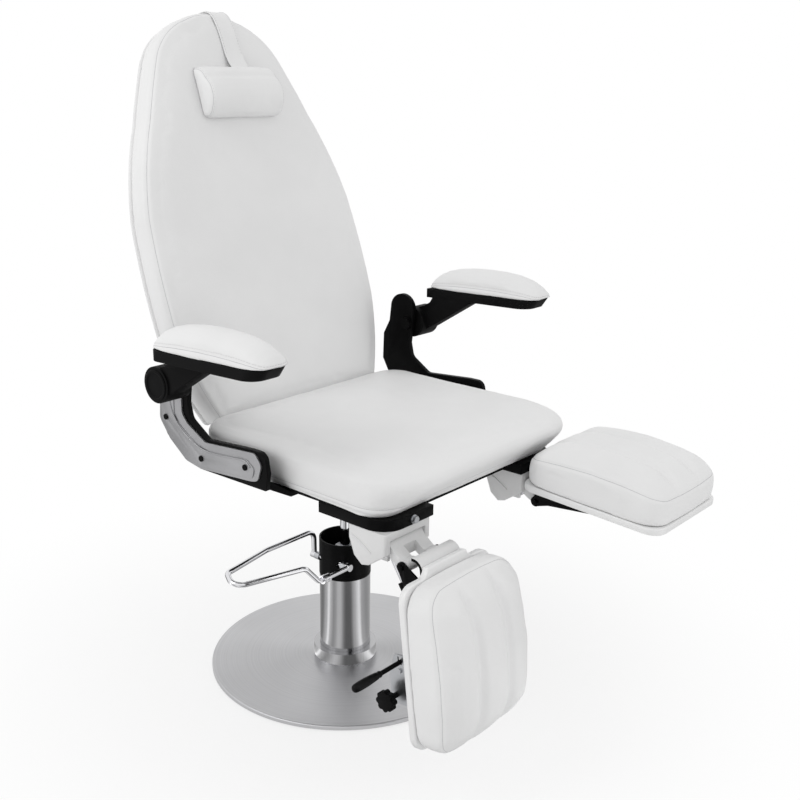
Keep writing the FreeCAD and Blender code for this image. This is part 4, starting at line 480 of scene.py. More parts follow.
def new_tree(name):
    """The nodes of a new material, and its shader."""
    material = bpy.data.materials.new(name)
    material.use_nodes = True
    return material.node_tree, material.node_tree.nodes["Principled BSDF"]


def coordinates(tree, scale=(1, 1, 1)):
    """The piece's own place, scaled along each axis."""
    return shade(tree, "Mapping", {"Vector": shade(tree, "TexCoord", output="Object"), "Scale": scale})


def blended(tree, source, light, share):
    """A colour between a light one and a share of it, by a grey texture."""
    ramp = shade(tree, "ValToRGB", {"Fac": source})
    dark, bright = ramp.node.color_ramp.elements
    dark.position, bright.position = 0.35, 0.65
    dark.color, bright.color = (*toned(light, share), 1), (*light, 1)
    return ramp


def ranged(tree, source, low, high):
    return shade(tree, "MapRange", {"Value": source, "To Min": low, "To Max": high})


def toned(colour, share):
    return tuple(value * share for value in colour)


def leather_finish(name, colour):
    """White upholstery leather: pebble grain, soft creases and slightly uneven gloss."""
    tree, shader = new_tree(name)
    place = coordinates(tree)
    patches = shade(tree, "TexNoise", {"Vector": place, "Scale": 7.0, "Detail": 3.0, "Roughness": 0.5})
    pebbles = shade(tree, "TexVoronoi", {"Vector": place, "Scale": 620.0})
    creases = shade(tree, "TexNoise", {"Vector": place, "Scale": 55.0, "Detail": 5.0, "Roughness": 0.6})
    grain = shade(tree, "Bump", {"Height": pebbles, "Distance": 0.00022, "Strength": 0.55})
    feed(tree, shader, {
        "Specular IOR Level": 0.35,
        "Sheen Weight": 0.08,
        "Base Color": blended(tree, patches, colour, 0.965),
        "Roughness": ranged(tree, patches, 0.42, 0.56),
        "Normal": shade(tree, "Bump", {"Height": creases, "Distance": 0.0006, "Strength": 0.25,
                                       "Normal": grain}),
    })


def streaked_metal(name, colour, stretch, rough, streak, aniso):
    """Brushed metal: fine lines along one direction, or round the axis where stretch is one number."""
    tree, shader = new_tree(name)
    fine = {"Scale": 1.0, "Detail": 6.0, "Roughness": 0.7}
    if isinstance(stretch, tuple):
        lines = shade(tree, "TexNoise", {**fine, "Vector": coordinates(tree, stretch)})
    else:
        radius = shade(tree, "VectorMath", {0: coordinates(tree, (1, 1, 0))}, "Value", operation="LENGTH")
        lines = shade(tree, "TexNoise", {**fine, "Scale": stretch, "W": radius}, noise_dimensions="1D")
    cloud = shade(tree, "TexNoise", {"Vector": coordinates(tree), "Scale": 9.0, "Detail": 3.0})
    faint = shade(tree, "Math", {0: cloud, 1: 0.35}, operation="MULTIPLY")
    mixed = shade(tree, "Math", {0: lines, 1: 0.65, 2: faint}, operation="MULTIPLY_ADD")
    feed(tree, shader, {
        "Metallic": 1.0,
        "Anisotropic": aniso,
        "Base Color": blended(tree, mixed, colour, 1 - streak),
        "Roughness": ranged(tree, mixed, *rough),
        "Normal": shade(tree, "Bump", {"Height": lines, "Distance": 0.00004, "Strength": 0.3}),
        "Tangent": shade(tree, "Tangent", direction_type="RADIAL", axis="Z"),
    })


def moulded_finish(name, colour, rough, grain, depth, worn, more):
    """Moulded or painted surfaces: fine texture, slight clouds of colour and gloss."""
    tree, shader = new_tree(name)
    place = coordinates(tree)
    clouds = shade(tree, "TexNoise", {"Vector": place, "Scale": 18.0, "Detail": 4.0})
    speck = shade(tree, "TexNoise", {"Vector": place, "Scale": grain, "Detail": 3.0})
    feed(tree, shader, {
        "Base Color": blended(tree, clouds, colour, 1 - worn),
        "Roughness": ranged(tree, clouds, *rough),
        "Normal": shade(tree, "Bump", {"Height": speck, "Distance": depth, "Strength": 0.35}),
        **more,
    })


def gloss(share):
    """How much a dark surface mirrors, as an input of its shader."""
    return {"Specular IOR Level": share}


def make_finishes():
    look = bpy.context.scene.chair_finishes
    steel, black, plastic = tuple(look.steel), tuple(look.black), tuple(look.plastic)
    leather_finish("White leather", tuple(bpy.context.scene.chair_upholstery.leather))
    streaked_metal("Polished column steel", steel, (420.0, 420.0, 3.0), (0.10, 0.24), 0.16, 0.3)
    streaked_metal("Turned disc steel", toned(steel, 1.1), 260.0, (0.26, 0.38), 0.13, 0.85)
    # Name, colour, roughness, scale and depth of the texture, wear, and what else differs.
    for row in (
            # The seam's thread line is darker than the leather: painted shade of the seam's groove.
            ("Painted seam shade line", (0.60, 0.60, 0.61), (0.6, 0.8), 900, 0.0001, 0.12, {}),
            ("Stitch thread", (0.72, 0.72, 0.72), (0.6, 0.8), 900, 0.0001, 0.12, {}),
            ("Pedal chrome", (0.78, 0.78, 0.80), (0.05, 0.12), 60, 0.00002, 0.05, {"Metallic": 1.0}),
            ("Zinc plate", (0.55, 0.56, 0.58), (0.25, 0.42), 300, 0.00005, 0.12, {"Metallic": 1.0}),
            ("Black enamel", black, (0.30, 0.42), 420, 0.0001, 0.2, gloss(0.05)),
            ("Cast silver cover", (0.40, 0.40, 0.41), (0.36, 0.48), 700, 0.00012, 0.1, {"Metallic": 0.85}),
            ("White enamel", (0.74, 0.74, 0.74), (0.30, 0.42), 160, 0.0001, 0.03, {}),
            ("White moulded board", plastic, (0.28, 0.38), 220, 0.00006, 0.02,
             {"Coat Weight": 0.15, "Coat Roughness": 0.2}),
            ("Black moulded arm", toned(black, 1.2), (0.42, 0.56), 900, 0.00014, 0.2, gloss(0.06)),
            ("Glossy black grip", toned(black, 0.6), (0.28, 0.36), 60, 0.00004, 0.12, gloss(0.12)),
            ("Black rubber", black, (0.7, 0.85), 500, 0.0002, 0.12, gloss(0.2)),
            ("Black seat board", black, (0.6, 0.75), 300, 0.0002, 0.12, gloss(0.1))):
        moulded_finish(*row)


# Operators, one for each group of pieces


class CHAIR_OT_finishes(bpy.types.Operator):
    """Make the finishes and give every node of the frame its own"""

    bl_idname = "chair.finishes"
    bl_label = "Finishes"

    def execute(self, context):
        make_finishes()
        slots = {row["node"]: row["material_slot"] for row in frame["record"]["subparts"]}
        first = {slot: finish for finish, slot in reversed(SLOT_OF.items())}
        for name, item in frame["nodes"].items():
            finish = "Turned disc steel" if name == "base_disc" else first[slots[name]]
            wanted = bpy.data.materials[finish]
            if not item.material_slots:
                item.data.materials.append(wanted)
            for spot in item.material_slots:
                spot.material = wanted
        return {"FINISHED"}


def rounded_ring(half, front, rear, front_corner, rear_corner, level, draw=0.002):
    """A level ring with rounded corners, whose straight sides draw in between the corners."""
    arcs = []
    for sx, sy, y, corner, first in ((1, 1, rear, rear_corner, 0), (-1, 1, rear, rear_corner, 90),
                                     (-1, -1, front, front_corner, 180), (1, -1, front, front_corner, 270)):
        centre = Vector((sx * (half - corner), y - sy * corner, level))
        angles = [math.radians(first + 90 * i / 8) for i in range(9)]
        arcs.append([centre + Vector((math.cos(angle), math.sin(angle), 0)) * corner for angle in angles])
    ring = []
    for arc, following in zip(arcs, arcs[1:] + arcs[:1]):
        start, end = arc[-1], following[0]
        inward = Vector((start.y - end.y, end.x - start.x, 0)).normalized()
        ring += arc
        for i in range(1, 16):
            share = i / 16
            ring.append(start.lerp(end, share) + inward * (draw * math.sin(math.pi * share)))
    return ring


def arc_through(start, middle, end, count):
    """Places on the circle through three points, without the last."""
    a = middle - start
    b = end - start
    normal = a.cross(b)
    if normal.length < 1e-9:
        return [start.lerp(end, i / count) for i in range(count)]
    centre = start + (b.length_squared * normal.cross(a) + a.length_squared * b.cross(normal)) / (
        2 * normal.length_squared)
    reach = start - centre
    side = normal.normalized().cross(reach)
    last = end - centre
    angle = math.atan2(last.dot(side), last.dot(reach)) % (2 * math.pi)
    return [centre + reach * math.cos(angle * i / count) + side * math.sin(angle * i / count)
            for i in range(count)]


class CHAIR_OT_seat_cushion(bpy.types.Operator):
    """Make the seat cushion, its rolled front and its sewn bottom edge"""

    bl_idname = "chair.seat_cushion"
    bl_label = "Seat cushion"

    def execute(self, context):
        low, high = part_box("seat_board")
        base, half, front, rear = high.z, high.x + 0.008, low.y - 0.024, high.y + 0.008
        # Height, how far the sides and the front stand out, and the corner's growth, in millimetres.
        layers = ((-10.5, -14, -16, 0), (-10.5, -6, -10, 0), (-8, -5, -8, 0), (0, -3, -2, 0), (3, 1, 2, 2),
                  (12, 5, 12, 12), (24, 9, 24, 22), (40, 14, 41, 38), (52, 17, 51, 52),
                  (62, 18.5, 53.5, 62), (69, 15, 50, 66), (75, 7, 40, 64), (79, -6, 25, 58),
                  (82, -24, 2, 50), (84.5, -55, -34, 40), (86, -95, -80, 30), (86.5, -150, -140, 20),
                  (86.5, -215, -190, 5))
        rings = []
        for height, widen, forward, corner in layers:
            rear_in = max(0, -widen) * MM
            rings.append(rounded_ring(half + widen * MM, front - forward * MM, rear - rear_in,
                                      0.05 + corner * 1.1 * MM, max(0.02, 0.045 - rear_in * 0.1),
                                      base + height * MM))
        cushion = skin("seat_cushion_cover", rings)
        inflate(cushion, 0.0065, context.scene.chair_upholstery.swell, lambda point: Vector(
            (point.x, min(point.y, rear + 0.001), max(point.z, base - 0.0106))))
        for size, depth in ((0.12, 0.0011), (0.035, 0.00035)):
            wrinkle(cushion, size, depth, lambda point: min(1.0, max(0.15, (point.z - base) / 0.08)))
        edge = rounded_ring(half + 0.0035, front - 0.009, rear, 0.058, 0.045, base + 0.009)
        seam("seat_edge_seam", cushion, edge, "seat")
        soft(cushion, "seat", "seat_cushion")
        return {"FINISHED"}


# Shares of the back's half width and length, each with the middle of the arc that leads to it.
BACK_SHARES = (
    ((0.760, 0.000), None),
    ((0.810, 0.012), (0.793, 0.003)),
    ((1.000, 0.230), (0.918, 0.105)),
    ((0.982, 0.504), (1.004, 0.365)),
    ((0.767, 0.735), (0.893, 0.626)),
    ((0.573, 0.891), (0.676, 0.812)),
    ((0.233, 0.983), (0.440, 0.946)),
)


def back_ring(depth, width, foot, head):
    """The back's outline, in its place, at a depth behind its seam, drawn in at its foot and its head."""
    low = foot * MM - BACK_DROP
    high = BACK_LENGTH - head * MM

    def place(across, along):
        return Vector((across * BACK_HALF * width, depth * MM, low + along * (high - low)))
    corners = [place(*corner) for corner, middle in BACK_SHARES]
    middles = [place(*middle) for corner, middle in BACK_SHARES[1:]]
    corners += mirrored(corners)
    middles += [place(0.0, 1.0)] + mirrored(middles)
    ring = []
    for start, middle, end in zip(corners, middles, corners[1:]):
        ring += arc_through(start, middle, end, 9)
    ring += [corners[-1].lerp(corners[0], i / 18) for i in range(18)]
    return placed(ring, BACK_PLACE)


class CHAIR_OT_back_rest(bpy.types.Operator):
    """Make the back's cushion with its front seam, and its padded rear"""

    bl_idname = "chair.back_rest"
    bl_label = "Back rest"

    def execute(self, context):
        # Depth, width, and how far the foot and the head draw in, from the rear round to the front.
        layers = ((50, 0.90, 40, 36), (50, 1.006, 1, -1), (44, 1.017, 0, -3), (34, 1.024, 0, -5),
                  (22, 1.026, 0, -5), (10, 1.018, 0, -3), (3, 1.006, 1, -1), (0, 0.998, 2, 1),
                  (-2.5, 0.984, 8, 7), (-6, 0.955, 20, 18), (-9, 0.91, 38, 35), (-11, 0.84, 66, 62),
                  (-12, 0.72, 110, 105), (-12.5, 0.52, 190, 180), (-12.5, 0.28, 280, 270))
        cushion = skin("back_cushion_cover", [back_ring(*layer) for layer in layers])
        lean = BACK_PLACE.inverted()

        def hold(point):
            local = lean @ point
            local.y = min(max(local.y, -0.016), BACK_DEPTH - 0.0002)
            local.z = max(local.z, 0.001 - BACK_DROP)
            return BACK_PLACE @ local
        inflate(cushion, 0.0072, context.scene.chair_upholstery.swell, hold)
        wrinkle(cushion, 0.16, 0.0009)
        seam("back_front_seam", cushion, back_ring(0.0, 0.998, 2, 1), "back")
        soft(cushion, "back", "back_cushion")

        layers = ((50, 0.90, 40, 36), (50.2, 1.004, 1, -1), (55, 1.014, 0, -3), (60, 1.008, 0, -2),
                  (63, 0.985, 8, 6), (64.5, 0.94, 26, 22), (65, 0.80, 90, 84), (65, 0.55, 190, 180),
                  (65, 0.28, 290, 280))
        rear = skin("back_rear_cover", [back_ring(*layer) for layer in layers])
        subdivide(rear)
        wrinkle(rear, 0.15, 0.0005)
        seam("back_rear_seam", rear, back_ring(59.5, 1.008, 0, -2), "back")
        soft(rear, "back", "back_board")
        return {"FINISHED"}


def pillow_ring(along, share):
    """An upright section of the half-round pillow, in its place, flat against the back."""
    middle, half = 0.004, 0.099
    foot, height, depth, rest = 0.568, 0.110, 0.060, -0.0125
    waist = foot + height * 0.45
    low = waist - height * 0.45 * share
    high = waist + height * 0.55 * share
    deep = -depth * share
    points = [Vector((middle + along * half, y, z)) for y, z in (
        (rest, low + 0.004), (deep * 0.42, low - height * 0.01), (deep * 0.74, low + height * 0.07),
        (deep, waist - height * 0.08), (deep * 0.80, waist + height * 0.25),
        (deep * 0.47, high - height * 0.06), (rest, high - 0.004))]
    ring = []
    for start, between, end in zip(points[::2], points[1::2], points[2::2]):
        ring += arc_through(start, between, end, 12)
    ring += [points[-1].lerp(points[0], i / 12) for i in range(12)]
    return placed(ring, BACK_PLACE)


class CHAIR_OT_headrest(bpy.types.Operator):
    """Make the headrest pillow, its stitched end caps and the strap over the back"""

    bl_idname = "chair.headrest"
    bl_label = "Headrest"

    def execute(self, context):
        ends = ((1.0, 0.55), (1.0, 0.80), (0.985, 0.90), (0.955, 0.955), (0.90, 0.985), (0.7, 1.0),
                (0.3, 1.0))
        stations = [(-along, share) for along, share in ends] + list(reversed(ends))
        pillow = skin("headrest_pillow_cover", [pillow_ring(*station) for station in stations])
        lean = BACK_PLACE.inverted()

        def hold(point):
            local = lean @ point
            local.y = min(local.y, -0.0125)
            return BACK_PLACE @ local
        inflate(pillow, 0.0042, 0.004, hold)
        wrinkle(pillow, 0.05, 0.0005)
        for name, along in (("near", -0.972), ("far", 0.972)):
            seam("pillow_seam_" + name, pillow, pillow_ring(along, 0.93), "back")
            stitches("pillow_stitches_" + name, pillow, pillow_ring(along * 0.965, 0.955), "back")
        soft(pillow, "back", "headrest_pillow")
        self.strap()
        return {"FINISHED"}

    def strap(self):
        """A flat band from the pillow over the top of the back and down its rear."""
        top = BACK_LENGTH + 0.010
        path = [Vector((0.022, y, z)) for y, z in (
            (-0.030, 0.664), (-0.022, 0.680), (-0.0165, 0.705), (-0.0160, 0.735), (-0.0120, 0.765),
            (-0.004, top - 0.013), (0.012, top - 0.003), (0.032, top), (0.050, top - 0.002),
            (0.064, top - 0.010), (0.0675, top - 0.030), (0.0672, 0.745), (0.0672, 0.70), (0.0670, 0.642))]
        half, thick, sag = 0.023, 0.0012, 0.0006
        shares = (-1, -0.96, -0.5, 0, 0.5, 0.96, 1)
        rings = []
        for before, point, after in zip(path[:1] + path, path, path[1:] + path[-1:]):
            along = (after - before).normalized()
            out = Vector((0, -along.z, along.y))
            ring = []
            for face, row in ((thick, shares), (-thick, shares[::-1])):
                for share in row:
                    lift = face * (0.75 if abs(share) == 1 else 1) - sag * (1 - share * share)
                    ring.append(point + Vector((share * half, 0, 0)) + out * lift)
            rings.append(placed(ring, BACK_PLACE))
        band = skin("pillow_strap_band", rings)
        subdivide(band, 2)
        # The stitches lie on the band's outer side: parts of its path, and the way out from each.
        spans = ((2, 5, -0.02, 0), (5, 10, 0, 0.02), (10, 14, 0.02, 0))
        for name, share in (("near", -0.84), ("far", 0.84)):
            line = [BACK_PLACE @ (point + Vector((share * half, y, z)))
                    for first, last, y, z in spans for point in path[first:last]]
            stitches("strap_stitches_" + name, band, line, "back", closed=False)
        dress(band, "back", "White leather")
        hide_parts("pillow_strap")


def arm_ring(y, half, low, side_rise, rise):
    """An upright section across an arm pad: flat below, drawn-in sides and an arched top."""
    foot_r = Vector((half - 0.003, y, low))
    foot_l = Vector((-half + 0.003, y, low))
    top_r = Vector((half - 0.003, y, low + side_rise))
    top_l = Vector((-half + 0.003, y, low + side_rise))
    ring = [foot_l.lerp(foot_r, i / 10) for i in range(10)]
    ring += arc_through(foot_r, Vector((half, y, low + side_rise / 2)), top_r, 5)
    ring += arc_through(top_r, Vector((0, y, low + rise)), top_l, 20)
    ring += arc_through(top_l, Vector((-half, y, low + side_rise / 2)), foot_l, 5)
    return ring


class CHAIR_OT_arm_pads(bpy.types.Operator):
    """Make the two arm pads with the stitched line along their sides"""

    bl_idname = "chair.arm_pads"
    bl_label = "Arm pads"

    def execute(self, context):
        # Place along the arm, share of the half width, height of the side and of the arch.
        stations = ((81, 0.22, 2, 3), (79, 0.45, 4, 9), (74, 0.62, 6, 16), (66, 0.76, 8, 24),
                    (54, 0.86, 10, 32), (36, 0.94, 12, 39), (10, 0.99, 14, 45), (-30, 1.0, 15.5, 49),
                    (-70, 1.0, 16, 50), (-110, 1.0, 15.5, 49), (-148, 0.99, 14, 45.5),
                    (-178, 0.96, 12, 38), (-197, 0.89, 9.5, 29), (-209, 0.77, 7, 20.5),
                    (-216, 0.60, 5, 12), (-218.5, 0.35, 3, 5))
        rear_z, front_z, rear_y, front_y = 0.752, 0.762, 0.085, -0.212
        slope = (front_z - rear_z) / (rear_y - front_y)
        for name, side in SIDES:
            across = Vector((side * ARM_ACROSS, 0, 0))
            rings = []
            edges = {-1: [], 1: []}
            for y, share, side_rise, rise in stations:
                low = rear_z + (rear_y - y * MM) * slope
                ring = arm_ring(y * MM, ARM_HALF * share, low, side_rise * MM, rise * MM)
                rings.append([point + across for point in ring])
                for edge, places in edges.items():
                    places.append(across + Vector((edge * ARM_HALF * share, y * MM,
                                                   low + side_rise * 0.95 * MM)))
            pad = skin("arm_pad_cover_" + name, rings)
            inflate(pad, 0.0042, 0.003, lambda point: Vector(
                (point.x, point.y, max(point.z, rear_z + (rear_y - point.y) * slope + 0.0002))))
            wrinkle(pad, 0.05, 0.0004)
            line = edges[-1] + edges[1][::-1]
            raised = [point + Vector((0, 0, 0.0042)) for point in line]
            seam("arm_pad_seam_" + name, pad, line, "armrest_" + name)
            stitches("arm_pad_stitches_" + name, pad, raised, "armrest_" + name)
            soft(pad, "armrest_" + name, "arm_pad_" + name)
        return {"FINISHED"}


# Place along the leg pad and the height of its seam as a share of the greatest.
PAD_PROFILE = ((0.001, 0.72), (0.012, 0.80), (0.038, 0.90), (0.090, 0.985), (0.150, 1.04), (0.215, 1.0),
               (0.262, 0.92), (0.284, 0.84), (PAD_END, 0.76))
PAD_RISE = 0.062


def pad_height(along):
    """The height of the leg pad's seam over the board at a place along the rest."""
    along = min(max(along, PAD_PROFILE[0][0]), PAD_PROFILE[-1][0])
    for (start, low), (end, high) in zip(PAD_PROFILE, PAD_PROFILE[1:]):
        if along <= end:
            return PAD_RISE * (low + (high - low) * (along - start) / (end - start))


def from_end(point):
    """How far a place on a leg pad is from the pad's nearer end."""
    return min(-point.y - PAD_START, PAD_END + point.y)


def pad_ring(inset, share, crown):
    """A ring of the leg pad: its plan drawn in by inset, at a share of the seam's height."""
    middle, half_length = -0.149, 0.146 - inset
    corner = max(0.012, 0.034 - inset * 0.25)
    ring = rounded_ring(LEG_HALF - inset, middle - half_length, middle + half_length,
                        corner + 0.006, corner + 0.012, PAD_BASE, -0.0025)
    for point in ring:
        arch = max(min(1.0, 0.35 + from_end(point) / 0.06), 0.2)
        point.z += pad_height(-point.y) * share + crown * arch
    return ring


class CHAIR_OT_leg_pads(bpy.types.Operator):
    """Make the two leg pads with their side panel, front seam and two sewn channels"""

    bl_idname = "chair.leg_pads"
    bl_label = "Leg pads"

    def execute(self, context):
        # Inset, share of the seam's height and crown, lengths in millimetres.
        layers = ((20, 0.0, 0), (2, 0.0, 0), (0.5, 0.06, 0), (-0.8, 0.2, 0), (-1.5, 0.45, 0),
                  (-1.0, 0.7, 0), (0, 0.88, 0), (1.5, 0.97, 0), (3.5, 1.0, 1.2), (8, 1.0, 6.5),
                  (16, 1.0, 13), (30, 1.0, 20), (50, 1.0, 24), (75, 1.0, 25.5), (100, 1.0, 26))
        for name, side in SIDES:
            place = LEG_PLACE[name]
            local = place.inverted()
            pad = skin("leg_pad_cover_" + name, [placed(pad_ring(inset * MM, share, crown * MM), place)
                                                 for inset, share, crown in layers])

            def hold(point):
                spot = local @ point
                spot.z = max(spot.z, PAD_BASE + 0.0002)
                spot.x = min(max(spot.x, -0.1212), 0.1212)
                spot.y = min(max(spot.y, -0.2985), -0.0015)
                return place @ spot
            inflate(pad, 0.0048, 0.006, hold)
            self.channels(pad, place, local)
            wrinkle(pad, 0.06, 0.0005)
            rests = "leg_rest_" + name
            seam("leg_pad_seam_" + name, pad, placed(pad_ring(0.0022, 0.985, 0.0), place), rests)
            soft(pad, rests, "leg_pad_" + name)
        return {"FINISHED"}

    def channels(self, pad, place, local):
        """Two valleys along the pad's top, which part it into three panels."""
        down = place.to_3x3() @ Vector((0, 0, -1))
        depth, half_width, channel = 0.0075, 0.0105, 0.040
        for vertex in pad.data.vertices:
            spot = local @ vertex.co
            if spot.z < PAD_BASE + pad_height(-spot.y) * 0.9:
                continue
            ends = min(1.0, max(0.0, from_end(spot) / 0.035))
            dip = sum(math.exp(-((spot.x - across) / half_width) ** 2) for across in (-channel, channel))
            vertex.co += down * (depth * dip * ends)
        pad.data.update()


class CHAIR_OT_arm_frames(bpy.types.Operator):
    """Make the moulded arm frames and the caps of their hubs"""

    bl_idname = "chair.arm_frames"
    bl_label = "Arm frames"

    def execute(self, context):
        for name, side in SIDES:
            shell = softened("arm_frame_" + name, "arm_frame_shell_" + name, 0.004, 4)
            cap = lathe("arm_hub_cap_" + name, (
                (4, -3), (29, -3), (29, 0.5), (28.5, 1.6), (27, 2.4), (24.5, 2.4), (23.2, 1.6),
                (22.5, 0.4), (21, 0.1), (12, 0.6), (4, 0.9)), facing(side, (side * 0.385, 0.103, 0.673)))
            for piece in (shell, cap):
                dress(piece, "armrest_" + name, "Black moulded arm")
        return {"FINISHED"}


class CHAIR_OT_side_covers(bpy.types.Operator):
    """Make the side plates, the silver covers with their raised beads, and the screws' sockets"""

    bl_idname = "chair.side_covers"
    bl_label = "Side covers"

    def execute(self, context):
        dress(softened("side_plates", "side_plate_shells", 0.002), "seat", "Black enamel")
        dress(softened("cover_plates", "silver_covers", 0.0012), "seat", "Cast silver cover")
        # The bead follows the inner edge of the raised band.
        points = ((139, 628), (135, 607), (122, 588), (100, 569), (66, 553), (38, 547.5), (-6, 549.5),
                  (-60, 556.5), (-72, 556), (-80.5, 550), (-83, 541))
        for name, side in SIDES:
            line = bead("cover_bead_" + name, side * (COVER_FACE + 0.0002), points, 0.006, 0.0017, 4)
            dress(line, "seat", "Cast silver cover")
            for number, (y, z) in enumerate(((152, 590), (53, 530), (-68, 543))):
                head = lathe("cover_screw_%s%d" % (name, number), (
                    (2.0, 0.6), (2.6, 2.2), (4.8, 2.3), (5.6, 1.6), (5.8, 0.4), (5.8, -0.4), (2.0, -0.4)),
                    facing(side, (side * COVER_FACE, y * MM, z * MM)), 24)
                dress(head, "seat", "Black enamel")
        return {"FINISHED"}


# The board's half outline: the centre of each corner, its radius (below nought where the outline
# is hollow), and the angles that it starts and ends at.
BOARD_CORNERS = (((0.050, 0.009), 0.003, 90, 0), ((0.070, 0.015), -0.018, 200, 270),
                 ((0.089, -0.033), 0.030, 90, 0), ((0.089, -0.267), 0.030, 0, -90))


def board_ring(inset, level):
    """A ring of the leg board, whose neck flares into the shoulders, drawn in by inset."""
    half = []
    for (x, y), radius, start, end in BOARD_CORNERS:
        reach = max(radius - inset, 0.0) if radius > 0 else inset - radius
        for i in range(11):
            angle = math.radians(start + (end - start) * i / 10)
            half.append(Vector((x + reach * math.cos(angle), y + reach * math.sin(angle), level)))
    return half + mirrored(half)


class CHAIR_OT_leg_shells(bpy.types.Operator):
    """Make the leg rests' moulded boards, brackets, hinge arms and rails, and the leg mounts"""

    bl_idname = "chair.leg_shells"
    bl_label = "Leg boards and brackets"

    def execute(self, context):
        # Inset and level in millimetres, from the board's under side to its top.
        layers = ((4.5, 49.05), (3, 49.05), (1.6, 49.4), (0.5, 50.2), (0, 51.5), (0, 59.8), (0.5, 61.1),
                  (1.6, 61.9), (3, 62.2), (4.5, 62.2))
        for name, side in SIDES:
            swing, tilt = "leg_swing_" + name, "leg_tilt_" + name
            board = skin("leg_board_shell_" + name, [
                placed(board_ring(inset * MM, level * MM), LEG_PLACE[name]) for inset, level in layers])
            dress(board, "leg_rest_" + name, "White moulded board")
            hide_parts("leg_board_" + name)
            dress(softened("leg_bracket_" + name, "leg_bracket_shell_" + name, 0.0022, 4), swing,
                  "White enamel")
            hinge = softened("hinge_arm_" + name, "hinge_arm_shell_" + name, 0.0015, 2)
            pins = parted(hinge, "hinge_pin_ends_" + name,
                          lambda spot: abs(spot.x - side * LEG_ACROSS) > 0.0445)
            dress(hinge, swing, "White enamel")
            dress(pins, swing, "Black enamel")
            rail = softened("leg_rail_" + name, "leg_rail_shell_" + name, 0.0008, 2)
            local = LEG_PLACE[name].inverted()
            hood = parted(rail, "leg_hood_shell_" + name, lambda spot: self.on_hood(local @ spot))
            dress(rail, tilt, "Black enamel")
            dress(hood, tilt, "White enamel")
            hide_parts("leg_rail_" + name)
            # A curved bead on each cheek of the bracket.
            for letter, cheek in (("a", -1), ("b", 1)):
                line = bead("bracket_bead_" + name + letter, side * LEG_ACROSS + cheek * 0.0612,
                            ((-264, 452), (-282, 445), (-299, 435), (-311, 427)), 0.003, 0.0016)
                dress(line, swing, "White enamel")
        dress(softened("leg_mounts", "leg_mount_shells", 0.0025), "seat", "Black enamel")
        return {"FINISHED"}

    def on_hood(self, spot):
        """Whether a place on the rail is part of the white hood over the hinge."""
        return spot.y > -0.0195 and spot.z > 0.024 and (spot.z > 0.0425 or spot.y > 0.015)


class CHAIR_OT_controls(bpy.types.Operator):
    """Make the levers' grips and the star knobs' caps"""

    bl_idname = "chair.controls"
    bl_label = "Grips and knobs"

    def execute(self, context):
        for name, side in SIDES:
            grip = lathe("lever_grip_cover_" + name, (
                (1.3, 0), (3.8, -0.5), (6.0, -2.2), (7.1, -5), (7.7, -10), (8.0, -18), (7.9, -30),
                (7.4, -41), (6.7, -51), (6.4, -56), (5.5, -58.2), (5.2, -60), (5.8, -62.2), (5.7, -64.6),
                (5.0, -66), (4.2, -66)), LEG_PLACE[name] @ facing(side, (side * 0.203, -0.153, 0.0135)), 32)
            dress(grip, "release_lever_" + name, "Glossy black grip")
            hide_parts("lever_grip_" + name)
            knob = softened("star_knob_" + name, "star_knob_shell_" + name, 0.0015)
            dress(knob, "star_knob_" + name, "Black moulded arm")
        return {"FINISHED"}


# Angle from the camera's side, in degrees, and the tone there of the painted reflection: a glowing plane
# that stripes the bright metal in reflections.
PAINTED_REFLECTION_SECTORS = ((-180, 0.35), (-110, 0.15), (-80, 0.4), (-70, 0.85), (-60, 0.4), (-45, 0.25), (-20, 0.45),
           (5, 0.1), (25, 0.1), (40, 0.35), (65, 0.75), (75, 0.35), (105, 0.25), (180, 0.35))


